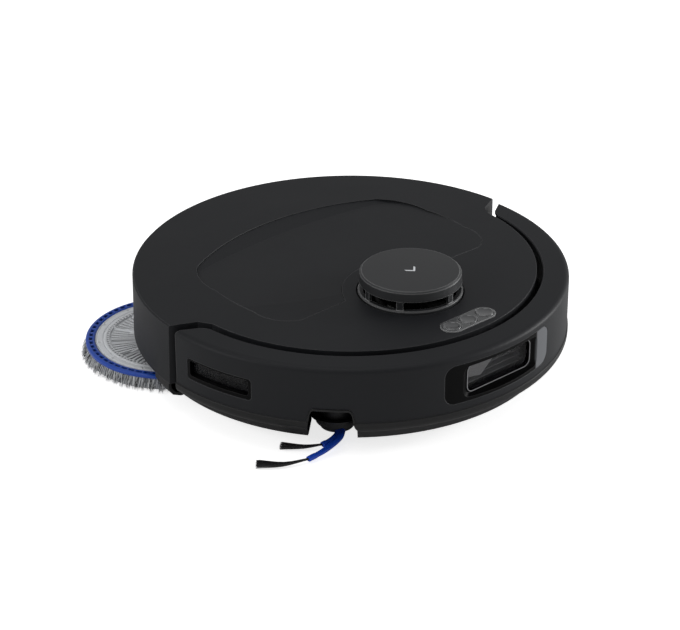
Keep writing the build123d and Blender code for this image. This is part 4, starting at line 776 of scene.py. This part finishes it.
# %% [markdown]
# A pale thin bead along a rounded rectangle runs round the pane: a painted highlight on the pane's
# chamfered edge.

# %% Painted highlight round the pane
PANE_MIDDLE_Z, PANE_HALF_X, PANE_HALF_Z, PANE_CORNER = 55.4, 33.7, 11.8, 6.0
BEAD = 0.25
BEAD_BACK, BEAD_FRONT = -169.0, -169.5


def rounded_loop(half_x, half_z, corner, quarter=9):
    """Points round a rectangle with quarter circle corners."""
    bend = np.linspace(0, np.pi / 2, quarter)
    corners = []
    for number, (sx, sz) in enumerate(((1, 1), (-1, 1), (-1, -1), (1, -1))):
        angle = bend + number * np.pi / 2
        corners.append(np.column_stack([sx * (half_x - corner) + corner * np.cos(angle),
                                        sz * (half_z - corner) + corner * np.sin(angle)]))
    return np.vstack(corners)


outer = rounded_loop(PANE_HALF_X + BEAD, PANE_HALF_Z + BEAD, PANE_CORNER + BEAD)
inner = rounded_loop(PANE_HALF_X - BEAD, PANE_HALF_Z - BEAD, PANE_CORNER - BEAD)
rings = [(outer, BEAD_BACK), (inner, BEAD_BACK), (inner, BEAD_FRONT), (outer, BEAD_FRONT)]
highlight_bead = np.vstack([np.column_stack([loop[:, 0], np.full(len(loop), y),
                                   loop[:, 1] + PANE_MIDDLE_Z]) for loop, y in rings])
# The bead's pale finish is the painted highlight of the pane's edge.
make_piece("pane_highlight_bead", highlight_bead, grid_faces(4, len(outer), True, True), "bumper", "fan_plastic")

# %% [markdown]
# ## Dust curtain
# A strip of black rubber stands on the base plate's rim on each side, behind the bumper, and keeps
# dust and light out of the drum. It leaves the bumper room for its whole press.

# %% Dust curtain
CURTAIN = [(163.0, 18.0), (164.4, 18.0), (164.4, 36.0), (163.6, 36.6), (163.0, 36.0)]
CURTAIN_SPAN, CURTAIN_STEPS = 23.0, 40
across, last = len(CURTAIN), CURTAIN_STEPS - 1
for word, first_degree in (("left", -33.0), ("right", -170.0)):
    turn = np.radians(np.linspace(first_degree, first_degree + CURTAIN_SPAN, CURTAIN_STEPS))
    r, z = np.array(CURTAIN).T
    wall = np.stack([np.cos(turn)[:, None] * r, np.sin(turn)[:, None] * r,
                     np.broadcast_to(z, (CURTAIN_STEPS, across))], axis=-1).reshape(-1, 3)
    ends = [tuple(range(across)), tuple(range(last * across, CURTAIN_STEPS * across))]
    make_piece(f"dust_curtain_{word}", wall,
               grid_faces(CURTAIN_STEPS, across, False, True) + ends, "chassis", "trim_rubber")

# %% [markdown]
# ## Front mark on the turret
# A small plain chevron inlaid in the cap shows which way is forward. It is a thin slab that follows
# the cap's crown.

# %% Chevron
CAP_Y, CAP_TOP, CAP_CROWN = -70.0, 100.8, 1250.0
CHEVRON = np.array([(-5.0, -68.0), (0.0, -73.0), (5.0, -68.0), (5.0, -70.2), (0.0, -75.2),
                    (-5.0, -70.2)])
from_middle = CHEVRON[:, 0]**2 + (CHEVRON[:, 1] - CAP_Y)**2
crown = CAP_TOP - CAP_CROWN + np.sqrt(CAP_CROWN**2 - from_middle)
upper = np.column_stack([CHEVRON, crown + 0.05])
lower = np.column_stack([CHEVRON, crown - 0.3])
side_faces = [(k, (k + 1) % 6, 6 + (k + 1) % 6, 6 + k) for k in range(6)]
flats = [(0, 1, 4, 5), (1, 2, 3, 4)]
make_piece("front_mark", np.vstack([upper, lower]),
           side_faces + flats + [tuple(6 + k for k in reversed(f)) for f in flats],
           "chassis", "mop_plastic")
